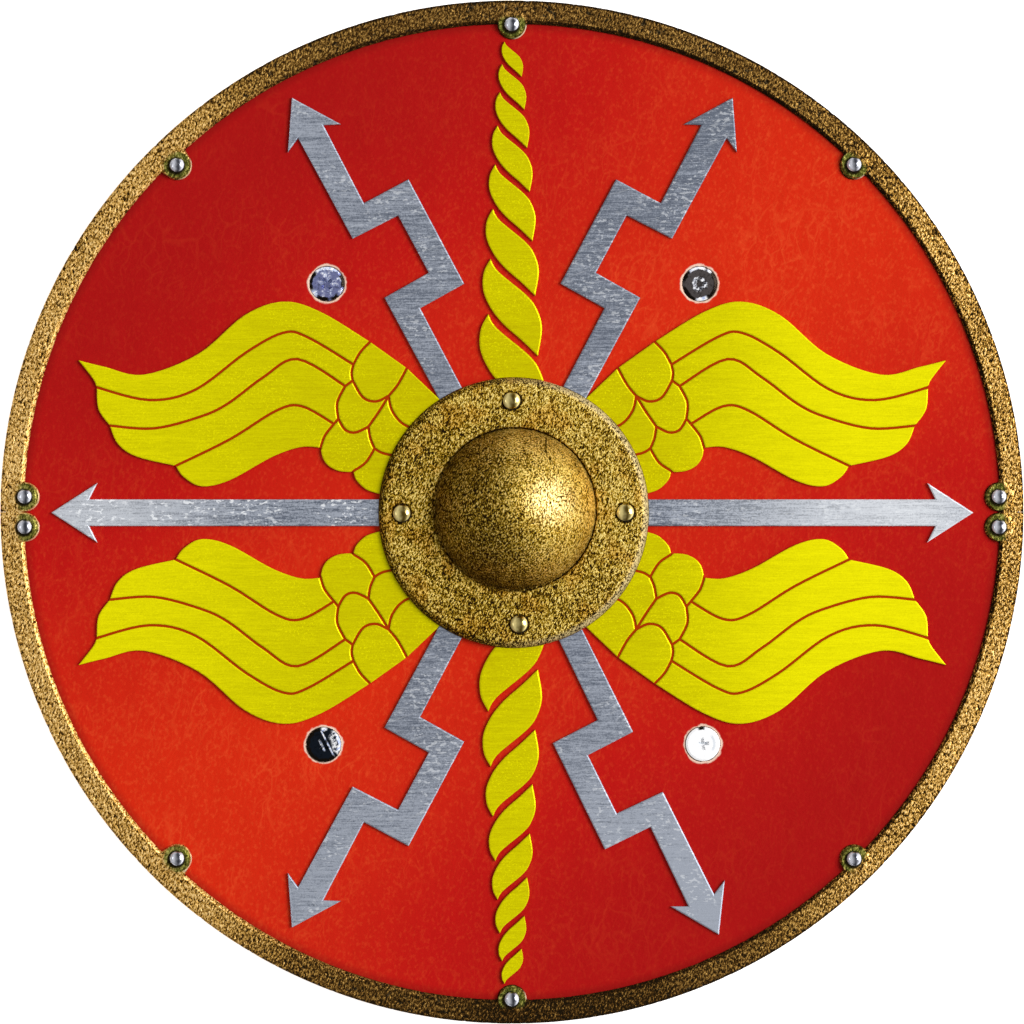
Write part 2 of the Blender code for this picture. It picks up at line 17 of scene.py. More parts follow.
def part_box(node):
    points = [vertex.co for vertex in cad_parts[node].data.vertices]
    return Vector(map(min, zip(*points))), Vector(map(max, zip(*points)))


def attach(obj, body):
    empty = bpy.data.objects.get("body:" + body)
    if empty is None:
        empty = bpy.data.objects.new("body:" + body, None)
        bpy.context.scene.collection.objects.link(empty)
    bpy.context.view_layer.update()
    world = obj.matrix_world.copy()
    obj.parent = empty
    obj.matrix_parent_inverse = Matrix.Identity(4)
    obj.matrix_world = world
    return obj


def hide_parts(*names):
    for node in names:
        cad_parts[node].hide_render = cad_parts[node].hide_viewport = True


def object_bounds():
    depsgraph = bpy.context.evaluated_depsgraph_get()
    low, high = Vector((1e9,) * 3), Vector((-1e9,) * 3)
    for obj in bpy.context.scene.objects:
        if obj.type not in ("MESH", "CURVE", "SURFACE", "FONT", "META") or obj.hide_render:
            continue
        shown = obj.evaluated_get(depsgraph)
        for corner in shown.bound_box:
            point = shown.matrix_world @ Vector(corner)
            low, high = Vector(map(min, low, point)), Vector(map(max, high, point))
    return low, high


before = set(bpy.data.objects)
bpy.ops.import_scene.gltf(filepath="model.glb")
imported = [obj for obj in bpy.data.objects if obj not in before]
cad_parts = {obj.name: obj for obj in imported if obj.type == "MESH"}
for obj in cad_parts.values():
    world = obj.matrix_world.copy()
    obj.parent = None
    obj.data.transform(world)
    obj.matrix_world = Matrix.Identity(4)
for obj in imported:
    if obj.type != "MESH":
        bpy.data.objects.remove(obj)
cad_size = [list(corner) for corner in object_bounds()]
print("frame:", len(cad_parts), "nodes, from", cad_size[0], "to", cad_size[1])

# %% [markdown]
# The heights, the shield's size and the places of the screws and rivets are read from the model's own
# boxes, so they need no fitting later. The boss's and the dome's centres and sizes are given.
# A round piece's centre is the middle of its box.

# %% Heights, places and sizes from the frame
def heights(node):
    low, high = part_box(node)
    return low.z, high.z


def centre(node):
    low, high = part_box(node)
    return ((low.x + high.x) / 2, (low.y + high.y) / 2)


def numbered(name, count):
    return [f"{name}_{number}" for number in range(1, count + 1)]


BOARD_BACK, BOARD_FRONT = heights("board")
LEATHER_BACK, LEATHER_FRONT = heights("leather_facing")
PLATE_BACK, PLATE_FRONT = heights("arrow_right")
RIM_BACK, RIM_FRONT = heights("rim_upper")
SHIELD_RADIUS = cad_size[1][0]
BOARD_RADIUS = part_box("board")[1].x
SCREWS = [centre(node) for node in numbered("screw", 4)]
RIM_RIVETS = [centre(node) for node in numbered("rim_rivet", 10)]
BOSS_RIVETS = [centre(node) for node in numbered("boss_rivet", 4)]
MM = 0.001
BOSS_CENTRE = Vector((0.0005, -0.0002))
BOSS_RADIUS = 0.0396
DOME_CENTRE = BOSS_CENTRE + Vector((0.4 * MM, 1.0 * MM))
DOME_RADIUS = 23.6 * MM
RIM_INNER = SHIELD_RADIUS - 7.0 * MM
print("shield radius", SHIELD_RADIUS, "leather", LEATHER_BACK, LEATHER_FRONT, "rim front", RIM_FRONT)

# %% [markdown]
# ## Camera, floor and light
# The picture looks straight down on the face, from so far away that no side shows. A long lens does the
# same: its distance is set so that the shield just fills the frame.

# %% The camera
LENS = 200.0
SENSOR = 36.0
FARTHEST_SEEN = 100.0


def add_object(name, data):
    obj = bpy.data.objects.new(name, data)
    bpy.context.scene.collection.objects.link(obj)
    return obj


camera = add_object("camera", bpy.data.cameras.new("camera"))
camera.data.lens = LENS
camera.data.sensor_width = SENSOR
camera.location = (0, 0, RIM_FRONT + SHIELD_RADIUS * LENS / (SENSOR / 2))
camera.data.clip_end = FARTHEST_SEEN
bpy.context.scene.camera = camera
print("camera", round(camera.location.z, 3), "m above the floor")

# %% [markdown]
# A large softbox from the right, a little above the middle of the picture, models every edge: what faces
# right shines and what faces left falls into shade. It stands far off, so that both halves of the shield
# get the same light. A small strip on the left gives the round rivets their second highlight. The sky is
# bright at the right and dark at the left, as in a studio with one window, and grey overhead, because a
# flat bright plate seen from above mirrors only what is straight above it. The floor glows faintly, as a
# lit table does, so that the shield's own shadow doesn't grey it.

# %% The lights
def add_softbox(name, direction, distance, size, power):
    """A rectangular light that looks at the shield's middle from a direction."""
    data = bpy.data.lights.new(name, "AREA")
    data.shape = "RECTANGLE"
    data.size, data.size_y = size
    data.energy = power
    lamp = add_object(name, data)
    towards = Vector(direction).normalized()
    lamp.location = towards * distance
    lamp.rotation_euler = towards.to_track_quat("Z", "Y").to_euler()


KEY_POWER = 185.0
KEY_DISTANCE = 4.5
KEY_SIZE = (2.2, 2.2)
KEY_DIRECTION = (1.0, 0.25, 1.0)
STRIP_POWER = 1.6
STRIP_DISTANCE = 1.6
STRIP_SIZE = (0.5, 0.18)
STRIP_DIRECTION = (-1.0, 0.0, 0.75)
add_softbox("key softbox", KEY_DIRECTION, KEY_DISTANCE, KEY_SIZE, KEY_POWER)
add_softbox("strip softbox", STRIP_DIRECTION, STRIP_DISTANCE, STRIP_SIZE, STRIP_POWER)
print("key", KEY_POWER, "W, strip", STRIP_POWER, "W")

# %% [markdown]
# ## Node maths written as sums
# Materials and Geometry Nodes are both trees of nodes. Adding a Math node by hand for every sum is long
# and hard to read. A small class that wraps a socket lets Python's own signs add those nodes, and one
# method adds any other node: its settings first, because they decide which sockets it has.

# %% A socket that can be added and multiplied
class Field:
    """A value on its way through a node tree."""

    def __init__(self, graph, socket):
        self.graph, self.socket = graph, socket

    def math(self, operation, *values):
        return self.graph.add("ShaderNodeMath", {"operation": operation}, dict(enumerate(values)))

    def __add__(self, other):
        return self.math("ADD", self, other)

    def __sub__(self, other):
        return self.math("SUBTRACT", self, other)

    def __rsub__(self, other):
        return self.math("SUBTRACT", other, self)

    def __mul__(self, other):
        return self.math("MULTIPLY", self, other)

    def __truediv__(self, other):
        return self.math("DIVIDE", self, other)

    def __rtruediv__(self, other):
        return self.math("DIVIDE", other, self)

    def __pow__(self, other):
        return self.math("POWER", self, other)

    def __abs__(self):
        return self.math("ABSOLUTE", self)

    def over(self, other):
        return self.math("MAXIMUM", self, other)

    __radd__, __rmul__ = __add__, __mul__


class Graph:
    """Adds nodes to one tree."""

    def __init__(self, tree):
        self.tree = tree

    def add(self, kind, settings=None, sockets=None, out=0):
        """A node of any type: its settings, then its sockets' values or links."""
        node = self.tree.nodes.new(kind)
        for name, value in (settings or {}).items():
            setattr(node, name, value)
        for name, value in (sockets or {}).items():
            if isinstance(value, Field):
                self.tree.links.new(value.socket, node.inputs[name])
            else:
                node.inputs[name].default_value = value
        return Field(self, node.outputs[out]) if len(node.outputs) else None

    def ramp(self, value, low, high):
        """0 below low, 1 above high, and a smooth step between. It runs down if low is above high."""
        sockets = {"Value": value, "From Min": low, "From Max": high}
        return self.add("ShaderNodeMapRange", {"interpolation_type": "SMOOTHSTEP"}, sockets)

    def axis(self, vector, name):
        return self.add("ShaderNodeSeparateXYZ", {}, {0: vector}, out=name)


# %% [markdown]
# The sky is the first use of it. The height of a direction runs from 0 at the horizon to 1 overhead, and
# its dot product with the key's direction says how far to the bright side it lies.

# %% The sky and the floor
SKY_OVERHEAD = 0.42
SKY_DARK_SIDE = 0.06
SKY_BRIGHT_SIDE = 1.0
SKY_TURN = (-0.7, 0.8)
SKY_RISE = (0.25, 0.85)
FLOOR_SIZE = 4.0
FLOOR_DROP = 0.1 * MM
FLOOR_GLOW = 0.72
PAPER_ROUGHNESS = 0.9
PAPER_WHITE = (0.9, 0.9, 0.9, 1.0)
LIGHT_WHITE = (1.0, 1.0, 1.0, 1.0)

world = bpy.data.worlds.new("studio")
bpy.context.scene.world = world
world.use_nodes = True
sky = Graph(world.node_tree)
look = sky.add("ShaderNodeTexCoord", out="Generated")
dot = {"operation": "DOT_PRODUCT"}
side = sky.add("ShaderNodeVectorMath", dot, {0: look, 1: KEY_DIRECTION}, out="Value")
side = side - sky.axis(look, "Z")
horizon = SKY_DARK_SIDE + (SKY_BRIGHT_SIDE - SKY_DARK_SIDE) * sky.ramp(side, *SKY_TURN)
strength = horizon + (SKY_OVERHEAD - horizon) * sky.ramp(sky.axis(look, "Z"), *SKY_RISE)
background = world.node_tree.nodes["Background"]
background.inputs["Color"].default_value = LIGHT_WHITE
world.node_tree.links.new(strength.socket, background.inputs["Strength"])
bpy.context.scene.view_settings.view_transform = "Standard"

bm = bmesh.new()
bmesh.ops.create_grid(bm, x_segments=1, y_segments=1, size=FLOOR_SIZE / 2)
floor_mesh = bpy.data.meshes.new("floor")
bm.to_mesh(floor_mesh)
bm.free()
floor = add_object("floor", floor_mesh)
floor.location.z = -FLOOR_DROP
paper = bpy.data.materials.new("white paper")
paper.use_nodes = True
shader = paper.node_tree.nodes["Principled BSDF"]
shader.inputs["Base Color"].default_value = PAPER_WHITE
shader.inputs["Roughness"].default_value = PAPER_ROUGHNESS
shader.inputs["Specular IOR Level"].default_value = 0.0
shader.inputs["Emission Color"].default_value = LIGHT_WHITE
shader.inputs["Emission Strength"].default_value = FLOOR_GLOW
floor_mesh.materials.append(paper)
print("sky", SKY_OVERHEAD, "overhead,", SKY_DARK_SIDE, "to", SKY_BRIGHT_SIDE, "at the horizon")

# %% [markdown]
# ## How a material is put together
# Each finish is one Principled shader. Its textures read Object coordinates, which are metres here, so
# a grain size is written as so many grains per metre. Heights are metres too, and one Bump node turns
# them into the surface's normal. A ramp's two numbers say where it starts and where it is full. They were
# found by setting renders beside the picture, region by region.

# %% Colours as a screen shows them
def rgb(red, green, blue):
    """A colour as it looks on a screen, 0 to 255, as the linear values that shaders use."""
    linear = []
    for value in (red, green, blue):
        share = value / 255
        linear.append(share / 12.92 if share <= 0.04045 else ((share + 0.055) / 1.055) ** 2.4)
    return (*linear, 1.0)


print("a middle grey of 128 is", round(rgb(128, 128, 128)[0], 3), "of the light of white")

# %% The finish class
class Finish(Graph):
    """A material: textures that feed one Principled shader."""

    def __init__(self, name):
        self.material = bpy.data.materials.new(name)
        self.material.use_nodes = True
        super().__init__(self.material.node_tree)
        self.shader = self.tree.nodes["Principled BSDF"]
        self.point = self.add("ShaderNodeTexCoord", out="Object")
        self.x, self.y, self.z = (self.axis(self.point, axis) for axis in "XYZ")

    def placed(self, per_metre, turn=(0.0, 0.0, 0.0), point=None):
        """The point, turned first and scaled after that, so that stretched grains can lean."""
        counts = per_metre if isinstance(per_metre, tuple) else (per_metre,) * 3
        sockets = {"Vector": point or self.point, "Rotation": turn}
        sockets["Scale"] = tuple(1 / count for count in counts)
        return self.add("ShaderNodeMapping", {"vector_type": "TEXTURE"}, sockets)

    def noise(self, per_metre, detail=2.0, rough=0.5, turn=(0.0, 0.0, 0.0), point=None, out=0):
        """Noise with so many grains per metre along x, y and z."""
        sockets = {"Vector": self.placed(per_metre, turn, point), "Scale": 1.0}
        sockets |= {"Detail": detail, "Roughness": rough}
        return self.add("ShaderNodeTexNoise", {}, sockets, out)

    def cells(self, per_metre, feature="F1", turn=(0.0, 0.0, 0.0), point=None):
        """The distance to the nearest cell's middle, or to the nearest edge between two cells."""
        sockets = {"Vector": self.placed(per_metre, turn, point), "Scale": 1.0}
        return self.add("ShaderNodeTexVoronoi", {"feature": feature}, sockets)

    def stops(self, value, *colours):
        """A colour ramp through (position, colour) stops."""
        node = self.tree.nodes.new("ShaderNodeValToRGB")
        elements = node.color_ramp.elements
        while len(elements) < len(colours):
            elements.new(0.5)
        for element, (position, colour) in zip(elements, colours):
            element.position, element.color = position, colour
        self.tree.links.new(value.socket, node.inputs["Fac"])
        return Field(self, node.outputs["Color"])

    def warped(self, per_metre, amount):
        """Object coordinates, bent by up to half the amount each way."""
        bend = self.noise(per_metre, out=1)
        sockets = {0: bend, 1: (amount, amount, amount), 2: self.point}
        return self.add("ShaderNodeVectorMath", {"operation": "MULTIPLY_ADD"}, sockets)

    def mix(self, share, first, second, blend="MIX"):
        settings = {"data_type": "RGBA", "blend_type": blend}
        return self.add("ShaderNodeMix", settings, {0: share, 6: first, 7: second}, out=2)

    def attribute(self, name, out="Fac"):
        return self.add("ShaderNodeAttribute", {"attribute_name": name}, out=out)

    def facing(self, axis):
        """How much the surface faces along an axis, from -1 to 1."""
        return self.axis(self.add("ShaderNodeNewGeometry", out="Normal"), axis)

    def finished(self, height=None, **sockets):
        """Feeds the shader and returns the material. A name's underscores stand for spaces."""
        if height:
            sockets["Normal"] = self.add("ShaderNodeBump", {}, {"Height": height, "Distance": 1.0})
        for name, value in sockets.items():
            socket = self.shader.inputs[name.replace("_", " ")]
            if isinstance(value, Field):
                self.tree.links.new(value.socket, socket)
            else:
                socket.default_value = value
        return self.material


def distance(across, along):
    """How far a point lies from a middle, by its two offsets from it."""
    return (across * across + along * along) ** 0.5


# %% [markdown]
# ## How a piece joins the shield
# A finished piece's object stays at the origin and its place is in its mesh. It rides on the model's
# one body and stands for the nodes that it replaces.

# %% Adding a piece
SHARP_EDGE = math.radians(38)


def add_mesh(name, bm, material=None, sharp=SHARP_EDGE):
    """Makes a bmesh an object, shaded smooth but for its sharp edges."""
    mesh = bpy.data.meshes.new(name)
    bm.to_mesh(mesh)
    bm.free()
    mesh.shade_smooth()
    mesh.set_sharp_from_angle(angle=sharp)
    if material:
        mesh.materials.append(material)
    return add_object(name, mesh)


def bake_modifiers(obj, outward=False):
    """Turns what the modifiers make into a plain mesh, and removes them."""
    graph = bpy.context.evaluated_depsgraph_get()
    mesh = bpy.data.meshes.new_from_object(obj.evaluated_get(graph), depsgraph=graph)
    obj.modifiers.clear()
    obj.data = mesh
    if outward:
        bm = bmesh.new()
        bm.from_mesh(mesh)
        bmesh.ops.recalc_face_normals(bm, faces=bm.faces)
        bm.to_mesh(mesh)
        bm.free()
    return obj


def join_shield(obj, slot, *nodes):
    """The piece rides on the shield in place of its nodes."""
    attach(obj, "root")
    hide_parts(*nodes)
    triangles = sum(len(face.vertices) - 2 for face in obj.data.polygons)
    print(f"{obj.name}: {triangles} triangles for {len(nodes)} nodes")


# %% [markdown]
# ## Red leather
# The facing is one disc of dyed leather. Its grain is a field of tiny pebbles, with long fine creases
# that run mostly from top to bottom as paler threads, shown stronger where the sheen is painted. The
# leather is crimson in two opposite quarters and orange-red in the other two, a painted sheen, with a
# clear red between them. That painted sheen is a formula of the angle round the middle, so it needs no
# picture.

# %% The leather's material
CRIMSON = rgb(162, 15, 17)
CLEAR_RED = rgb(182, 19, 17)
SHEEN_ORANGE_RED = rgb(207, 40, 15)
THREAD_ORANGE = rgb(232, 92, 44)
TORN_FIBRE = rgb(238, 210, 188)
PORE_AND_RIM_SHADE = rgb(112, 12, 12)
DYE_SHEEN = (1.0, 0.16, 0.10, 1.0)
SHEEN_AXIS = math.radians(43)
CREASE_LEAN = math.radians(-14)


def make_red_leather():
    f = Finish("red leather")
    reach = distance(f.x, f.y)
    # Painted sheen: orange-red in two opposite quarters and towards the middle, crimson in the others.
    level, leaning = math.cos(2 * SHEEN_AXIS), 2 * math.sin(2 * SHEEN_AXIS)
    twice = (f.x * f.x - f.y * f.y) * level + f.x * f.y * leaning
    quarter = twice / (reach * reach + 1e-6) * 0.5 + 0.5
    painted_sheen = quarter * quarter
    near = f.ramp(reach, 0.135, 0.040) * 0.7
    cloud = f.noise(30.0, detail=4.0, rough=0.6) - 0.5
    sheen_and_cloud = painted_sheen + (1 - painted_sheen) * near + cloud * 0.12
    colour = f.stops(sheen_and_cloud, (0.0, CRIMSON), (0.41, CLEAR_RED), (1.0, SHEEN_ORANGE_RED))

    bent = f.warped(90.0, 0.009)
    lean = (0.0, 0.0, CREASE_LEAN)
    crease = f.ramp(f.cells((170.0, 48.0, 170.0), "DISTANCE_TO_EDGE", lean, bent), 0.055, 0.0)
    thin = f.ramp(f.cells((330.0, 90.0, 330.0), "DISTANCE_TO_EDGE", lean, bent), 0.07, 0.0)
    patch = f.ramp(f.noise(45.0, detail=2.0), 0.40, 0.66)
    # The creases and the mottle show stronger where the sheen is painted.
    veins = crease.over(thin * 0.6) * patch * (0.06 + 0.20 * sheen_and_cloud * sheen_and_cloud)
    colour = f.mix(veins, colour, THREAD_ORANGE)
    mottle = f.ramp(f.noise((1100.0, 760.0, 900.0), detail=2.0, turn=lean), 0.48, 0.74)
    colour = f.mix(mottle * (0.04 + 0.22 * sheen_and_cloud), colour, THREAD_ORANGE)
    fleck = f.ramp(f.noise(1500.0, detail=2.0, rough=0.7), 0.70, 0.82)
    colour = f.mix(fleck * 0.22, colour, THREAD_ORANGE)
    pore = f.ramp(f.cells(900.0), 0.30, 0.06)
    colour = f.mix(pore * 0.10, colour, PORE_AND_RIM_SHADE)
    # Painted shade: a darker band just inside the rim.
    colour = f.mix(f.ramp(reach, RIM_INNER - 3.0 * MM, RIM_INNER) * 0.45, colour, PORE_AND_RIM_SHADE)

    ragged = f.attribute("screw_distance") + (f.noise(420.0, detail=3.0) - 0.5) * 1.5 * MM
    torn = f.ramp(ragged, 5.95 * MM, 5.45 * MM)
    colour = f.mix(torn * 0.9, colour, TORN_FIBRE)
    pebble = f.cells(1150.0) * 0.030 * MM
    folds = f.noise((330.0, 210.0, 260.0), detail=2.0) * 0.05 * MM
    fibre = torn * f.noise(2600.0, detail=2.0) * 0.10 * MM
    return f.finished(
        height=pebble + folds + fibre, Base_Color=colour, Roughness=0.46 + torn * 0.35,
        Specular_IOR_Level=0.3, Specular_Tint=DYE_SHEEN,
    )


red_leather = make_red_leather()
print(red_leather.name, len(red_leather.node_tree.nodes), "nodes")

# %% [markdown]
# The disc's face is a net of small triangles, so that it can carry low waves, the dip that each screw
# pulls into the leather and the holes for rivets and screws. Delaunay triangulation joins a lattice of
# points and rings round the holes into one net, and the triangles inside the holes are dropped.

# %% Circles and nets of triangles
EDGE_POINTS = 360
HOLE_MARGIN = 0.98
SAME_POINT = 1e-7


def circle(middle, radius, count):
    turns = [math.tau * step / count for step in range(count)]
    return [(middle[0] + radius * math.cos(turn), middle[1] + radius * math.sin(turn)) for turn in turns]


def triangulate(rings, loose, holes):
    """Triangles over rings of edges and loose points, less those inside the (middle, radius) holes."""
    points, edges = [], []
    for ring in rings:
        first = len(points)
        points += ring
        edges += [(first + step, first + (step + 1) % len(ring)) for step in range(len(ring))]
    points += loose
    net = delaunay_2d_cdt([Vector(point) for point in points], edges, [], 0, SAME_POINT)
    kept = []
    for face in net[2]:
        middle = sum((net[0][index] for index in face), Vector((0, 0))) / len(face)
        if all((middle - Vector(place)).length > radius * HOLE_MARGIN for place, radius in holes):
            kept.append(face)
    return net[0], kept


print(len(circle((0, 0), BOARD_RADIUS, EDGE_POINTS)), "points round the leather's edge")

# %% The leather's height
SCREW_HOLE = 5.15 * MM
BROAD_WAVES = (160, 70)
FINE_WAVES = (420, 260)
LEATHER_WAVE = 0.07 * MM
SCREW_DIP = 0.22 * MM
DIP_REACH = 5.0 * MM


def screw_distance(x, y):
    return min(math.hypot(x - place[0], y - place[1]) for place in SCREWS)


def leather_height(x, y):
    wave = noise.noise(Vector((x * BROAD_WAVES[0], y * BROAD_WAVES[1], 0.0)))
    wave += 0.6 * noise.noise(Vector((x * FINE_WAVES[0], y * FINE_WAVES[1], 5.0)))
    near = max(0.0, 1.0 - (screw_distance(x, y) - SCREW_HOLE) / DIP_REACH)
    return LEATHER_FRONT + LEATHER_WAVE * wave - SCREW_DIP * near * near


print("the leather dips", SCREW_DIP / MM, "mm round each screw")

# %% The leather's mesh
LATTICE = 1.3 * MM
LATTICE_ROW = LATTICE * 0.866
HIDDEN_STEP = 4
SCREW_HOLE_POINTS = 60
SCREW_RINGS = (5.5 * MM, 5.9 * MM, 6.3 * MM, 6.8 * MM, 7.4 * MM, 8.2 * MM, 9.2 * MM)
SCREW_ROOM = 9.8 * MM
SCREW_REACH = 12 * MM
RIVET_HOLE_POINTS = 12
RIVET_HOLE = 1.5 * MM


def lattice_points(holes):
    """The face's loose points, clear of the holes and fewer where the rim or the boss hides them."""
    loose = []
    rows = int(BOARD_RADIUS / LATTICE_ROW) + 1
    for row in range(-rows, rows + 1):
        y = row * LATTICE_ROW
        for column in range(-rows, rows + 1):
            x = (column + 0.5 * (row % 2)) * LATTICE
            reach = math.hypot(x, y)
            hidden = reach < BOSS_RADIUS - 3 * MM or reach > RIM_INNER + MM
            thin = hidden and (row % HIDDEN_STEP or column % HIDDEN_STEP)
            clear = all(math.hypot(x - place[0], y - place[1]) > radius + MM for place, radius in holes)
            if reach < BOARD_RADIUS - MM and not thin and clear and screw_distance(x, y) > SCREW_ROOM:
                loose.append((x, y))
    return loose


def make_facing():
    rivets = RIM_RIVETS + BOSS_RIVETS
    holes = [(place, SCREW_HOLE) for place in SCREWS] + [(place, RIVET_HOLE) for place in rivets]
    borders = [circle((0, 0), BOARD_RADIUS, EDGE_POINTS)]
    borders += [circle(place, SCREW_HOLE, SCREW_HOLE_POINTS) for place in SCREWS]
    borders += [circle(place, RIVET_HOLE, RIVET_HOLE_POINTS) for place in rivets]
    rings = list(borders)
    for place in SCREWS:
        rings += [circle(place, radius, SCREW_HOLE_POINTS) for radius in SCREW_RINGS]
    bm = bmesh.new()
    layer = bm.verts.layers.float.new("screw_distance")
    points, faces = triangulate(rings, lattice_points(holes), holes)
    top = [bm.verts.new((p.x, p.y, leather_height(p.x, p.y))) for p in points]
    for vert in top:
        vert[layer] = min(screw_distance(vert.co.x, vert.co.y), SCREW_REACH)
    for face in faces:
        bm.faces.new([top[index] for index in face])
    points, faces = triangulate(borders, [], holes)
    under = [bm.verts.new((p.x, p.y, LEATHER_BACK)) for p in points]
    for face in faces:
        bm.faces.new([under[index] for index in reversed(face)])
    first = 0
    for ring in borders:
        for step in range(len(ring)):
            one, two = first + step, first + (step + 1) % len(ring)
            bm.faces.new((top[one], top[two], under[two], under[one]))
        first += len(ring)
    loose_verts = [vert for vert in bm.verts if not vert.link_faces]
    bmesh.ops.delete(bm, geom=loose_verts, context="VERTS")
    bmesh.ops.recalc_face_normals(bm, faces=bm.faces)
    return add_mesh("red_leather_facing", bm, red_leather)


facing = make_facing()
join_shield(facing, "facing_leather", "leather_facing")

# %% [markdown]
# ## Aged brass
# The channel round the edge looks like cast or hammered brass that has lain in the ground: gold ridges
# between small black pits. The larger pits are cut into the mesh by Geometry Nodes. The same nodes store
# how deep each point lies, and the material darkens the deep points, so colour and shape agree.

# %% The pitting tree
def new_tree(name, **inputs):
    """A Geometry Nodes tree with named number inputs. Returns its graph, geometry and fields."""
    tree = bpy.data.node_groups.new(name, "GeometryNodeTree")
    tree.interface.new_socket("Geometry", in_out="INPUT", socket_type="NodeSocketGeometry")
    for label, value in inputs.items():
        kind = "NodeSocketInt" if isinstance(value, int) else "NodeSocketFloat"
        socket = tree.interface.new_socket(label.replace("_", " "), in_out="INPUT", socket_type=kind)
        socket.default_value = value
    tree.interface.new_socket("Geometry", in_out="OUTPUT", socket_type="NodeSocketGeometry")
    graph = Graph(tree)
    source = tree.nodes.new("NodeGroupInput")
    fields = {label: Field(graph, source.outputs[label.replace("_", " ")]) for label in inputs}
    return graph, Field(graph, source.outputs["Geometry"]), fields


def close_tree(graph, geometry, material):
    """The tree's end: real geometry, in its material."""
    whole = graph.add("GeometryNodeRealizeInstances", {}, {"Geometry": geometry})
    whole = graph.add("GeometryNodeSetMaterial", {}, {"Geometry": whole, "Material": material})
    graph.add("NodeGroupOutput", {}, {"Geometry": whole})


def run_tree(obj, graph, **values):
    """Runs a tree on an object with these inputs, set by their identifiers, and bakes the result."""
    modifier = obj.modifiers.new(graph.tree.name, "NODES")
    modifier.node_group = graph.tree
    for item in graph.tree.interface.items_tree:
        label = item.name.replace(" ", "_")
        if item.in_out == "INPUT" and label in values:
            modifier[item.identifier] = values[label]
    return bake_modifiers(obj, outward=True)


def pitting_tree(material):
    """Cuts pits into a surface along its normals, and stores how deep each point lies, from 0 to 1."""
    graph, mesh, size = new_tree(
        "pitting", Pit_Size=1.6 * MM, Pit_Depth=0.16 * MM, Grain_Size=0.8 * MM,
        Grain_Depth=0.07 * MM, Seed=3,
    )
    place = graph.add("GeometryNodeInputPosition")
    calm = graph.add("GeometryNodeInputNamedAttribute", {"data_type": "FLOAT"}, {"Name": "calm"})

    def grains(width, detail):
        sockets = {"Vector": place, "W": size["Seed"] * 7.3, "Scale": 1 / width, "Detail": detail}
        return graph.add("ShaderNodeTexNoise", {"noise_dimensions": "4D"}, sockets)

    pit = graph.ramp(grains(size["Pit_Size"], 2.0), 0.46, 0.30) * (1 - calm)
    grain = (grains(size["Grain_Size"], 1.0) - 1.0) * size["Grain_Depth"] * (1 - calm * 0.6)
    sockets = {"Geometry": mesh, "Name": "pit", "Value": pit}
    mesh = graph.add("GeometryNodeStoreNamedAttribute", {"data_type": "FLOAT"}, sockets)
    inward = grain - pit * size["Pit_Depth"]
    shift = graph.add(
        "ShaderNodeVectorMath", {"operation": "SCALE"},
        {0: graph.add("GeometryNodeInputNormal"), "Scale": inward},
    )
    mesh = graph.add("GeometryNodeSetPosition", {}, {"Geometry": mesh, "Offset": shift})
    close_tree(graph, mesh, material)
    return graph


print("the pitting tree can be grown on any mesh")

# %% [markdown]
# Old brass is several things at once: bare gold metal on the ridges, brown oxide in between and black
# dirt in the pits. One noise sorts the surface into these three by its value, and the stored pit depth
# adds the larger holes. The edging is brighter at the shield's sides than at its top and bottom. Round
# each rivet lies a lobe with a greenish bloom and short rays, where the metal was stretched. The dome has
# painted light on one side and painted shade on the other, and an almost white painted highlight at its
# brightest spot. The edging and the boss's flange carry painted light and shade by side as well.

# %% Brass that has aged
# Black for the pits, and for painted shadow and dark painted reflections.
PIT_AND_SHADE_BLACK = rgb(22, 14, 5)
GRAIN_LEAN = (0.0, 0.0, -0.30)
BRASS_SHEEN = (1.0, 0.74, 0.40, 1.0)


class AgedBrass(Finish):
    """Pitted brass. Its light value runs from 0, black pits, over brown and gold to 1, a rubbed ridge."""

    def __init__(self, name, grain, contrast):
        super().__init__(name)
        coarse = self.noise((grain, grain * 0.5, grain), detail=2.0, rough=0.6, turn=GRAIN_LEAN)
        fine = self.noise((grain * 1.9, grain * 1.3, grain * 1.9), detail=2.0, rough=0.6)
        self.grain = coarse * 0.62 + fine * 0.38
        self.broad = self.noise(28.0, detail=3.0, rough=0.6) - 0.5
        self.light = (self.grain - 0.5) * contrast + self.broad * 0.5 + 0.5
        self.height = self.grain * 0.42 * MM * (1000.0 / grain)
        self.reach = distance(self.x, self.y)

    def towards(self, degrees):
        """1 where the shield's middle sees a point in this direction, -1 where it lies opposite."""
        turn = math.radians(degrees)
        return (self.x * math.cos(turn) + self.y * math.sin(turn)) / self.reach

    def toned(self, tones):
        """The colour by the light value, and how black each point is."""
        light = self.light - self.ramp(self.attribute("pit"), 0.35, 0.8) * 0.35
        return self.stops(light, *tones), self.ramp(light, 0.26, 0.05)

    def worn(self, height, colour, black):
        """Blackened pits are neither metal nor smooth, the rest is both."""
        return self.finished(
            height=height, Base_Color=colour, Metallic=0.75 - black * 0.6, Roughness=0.43 + black * 0.37,
            Specular_IOR_Level=0.10, Specular_Tint=BRASS_SHEEN,
        )


print("aged brass is sorted into pits, oxide and ridges")

# %% The rim's brass
RIM_TONES = (
    (0.0, PIT_AND_SHADE_BLACK), (0.24, rgb(92, 60, 16)), (0.44, rgb(174, 128, 50)), (0.64, rgb(230, 180, 92)),
    (0.95, rgb(255, 218, 148)),
)
LOBE_TONES = ((0.30, rgb(34, 34, 12)), (0.50, rgb(102, 106, 38)), (0.70, rgb(206, 200, 106)))
LOBE_HIGHLIGHT = rgb(250, 226, 190)
DULL_BRASS = rgb(126, 108, 74)


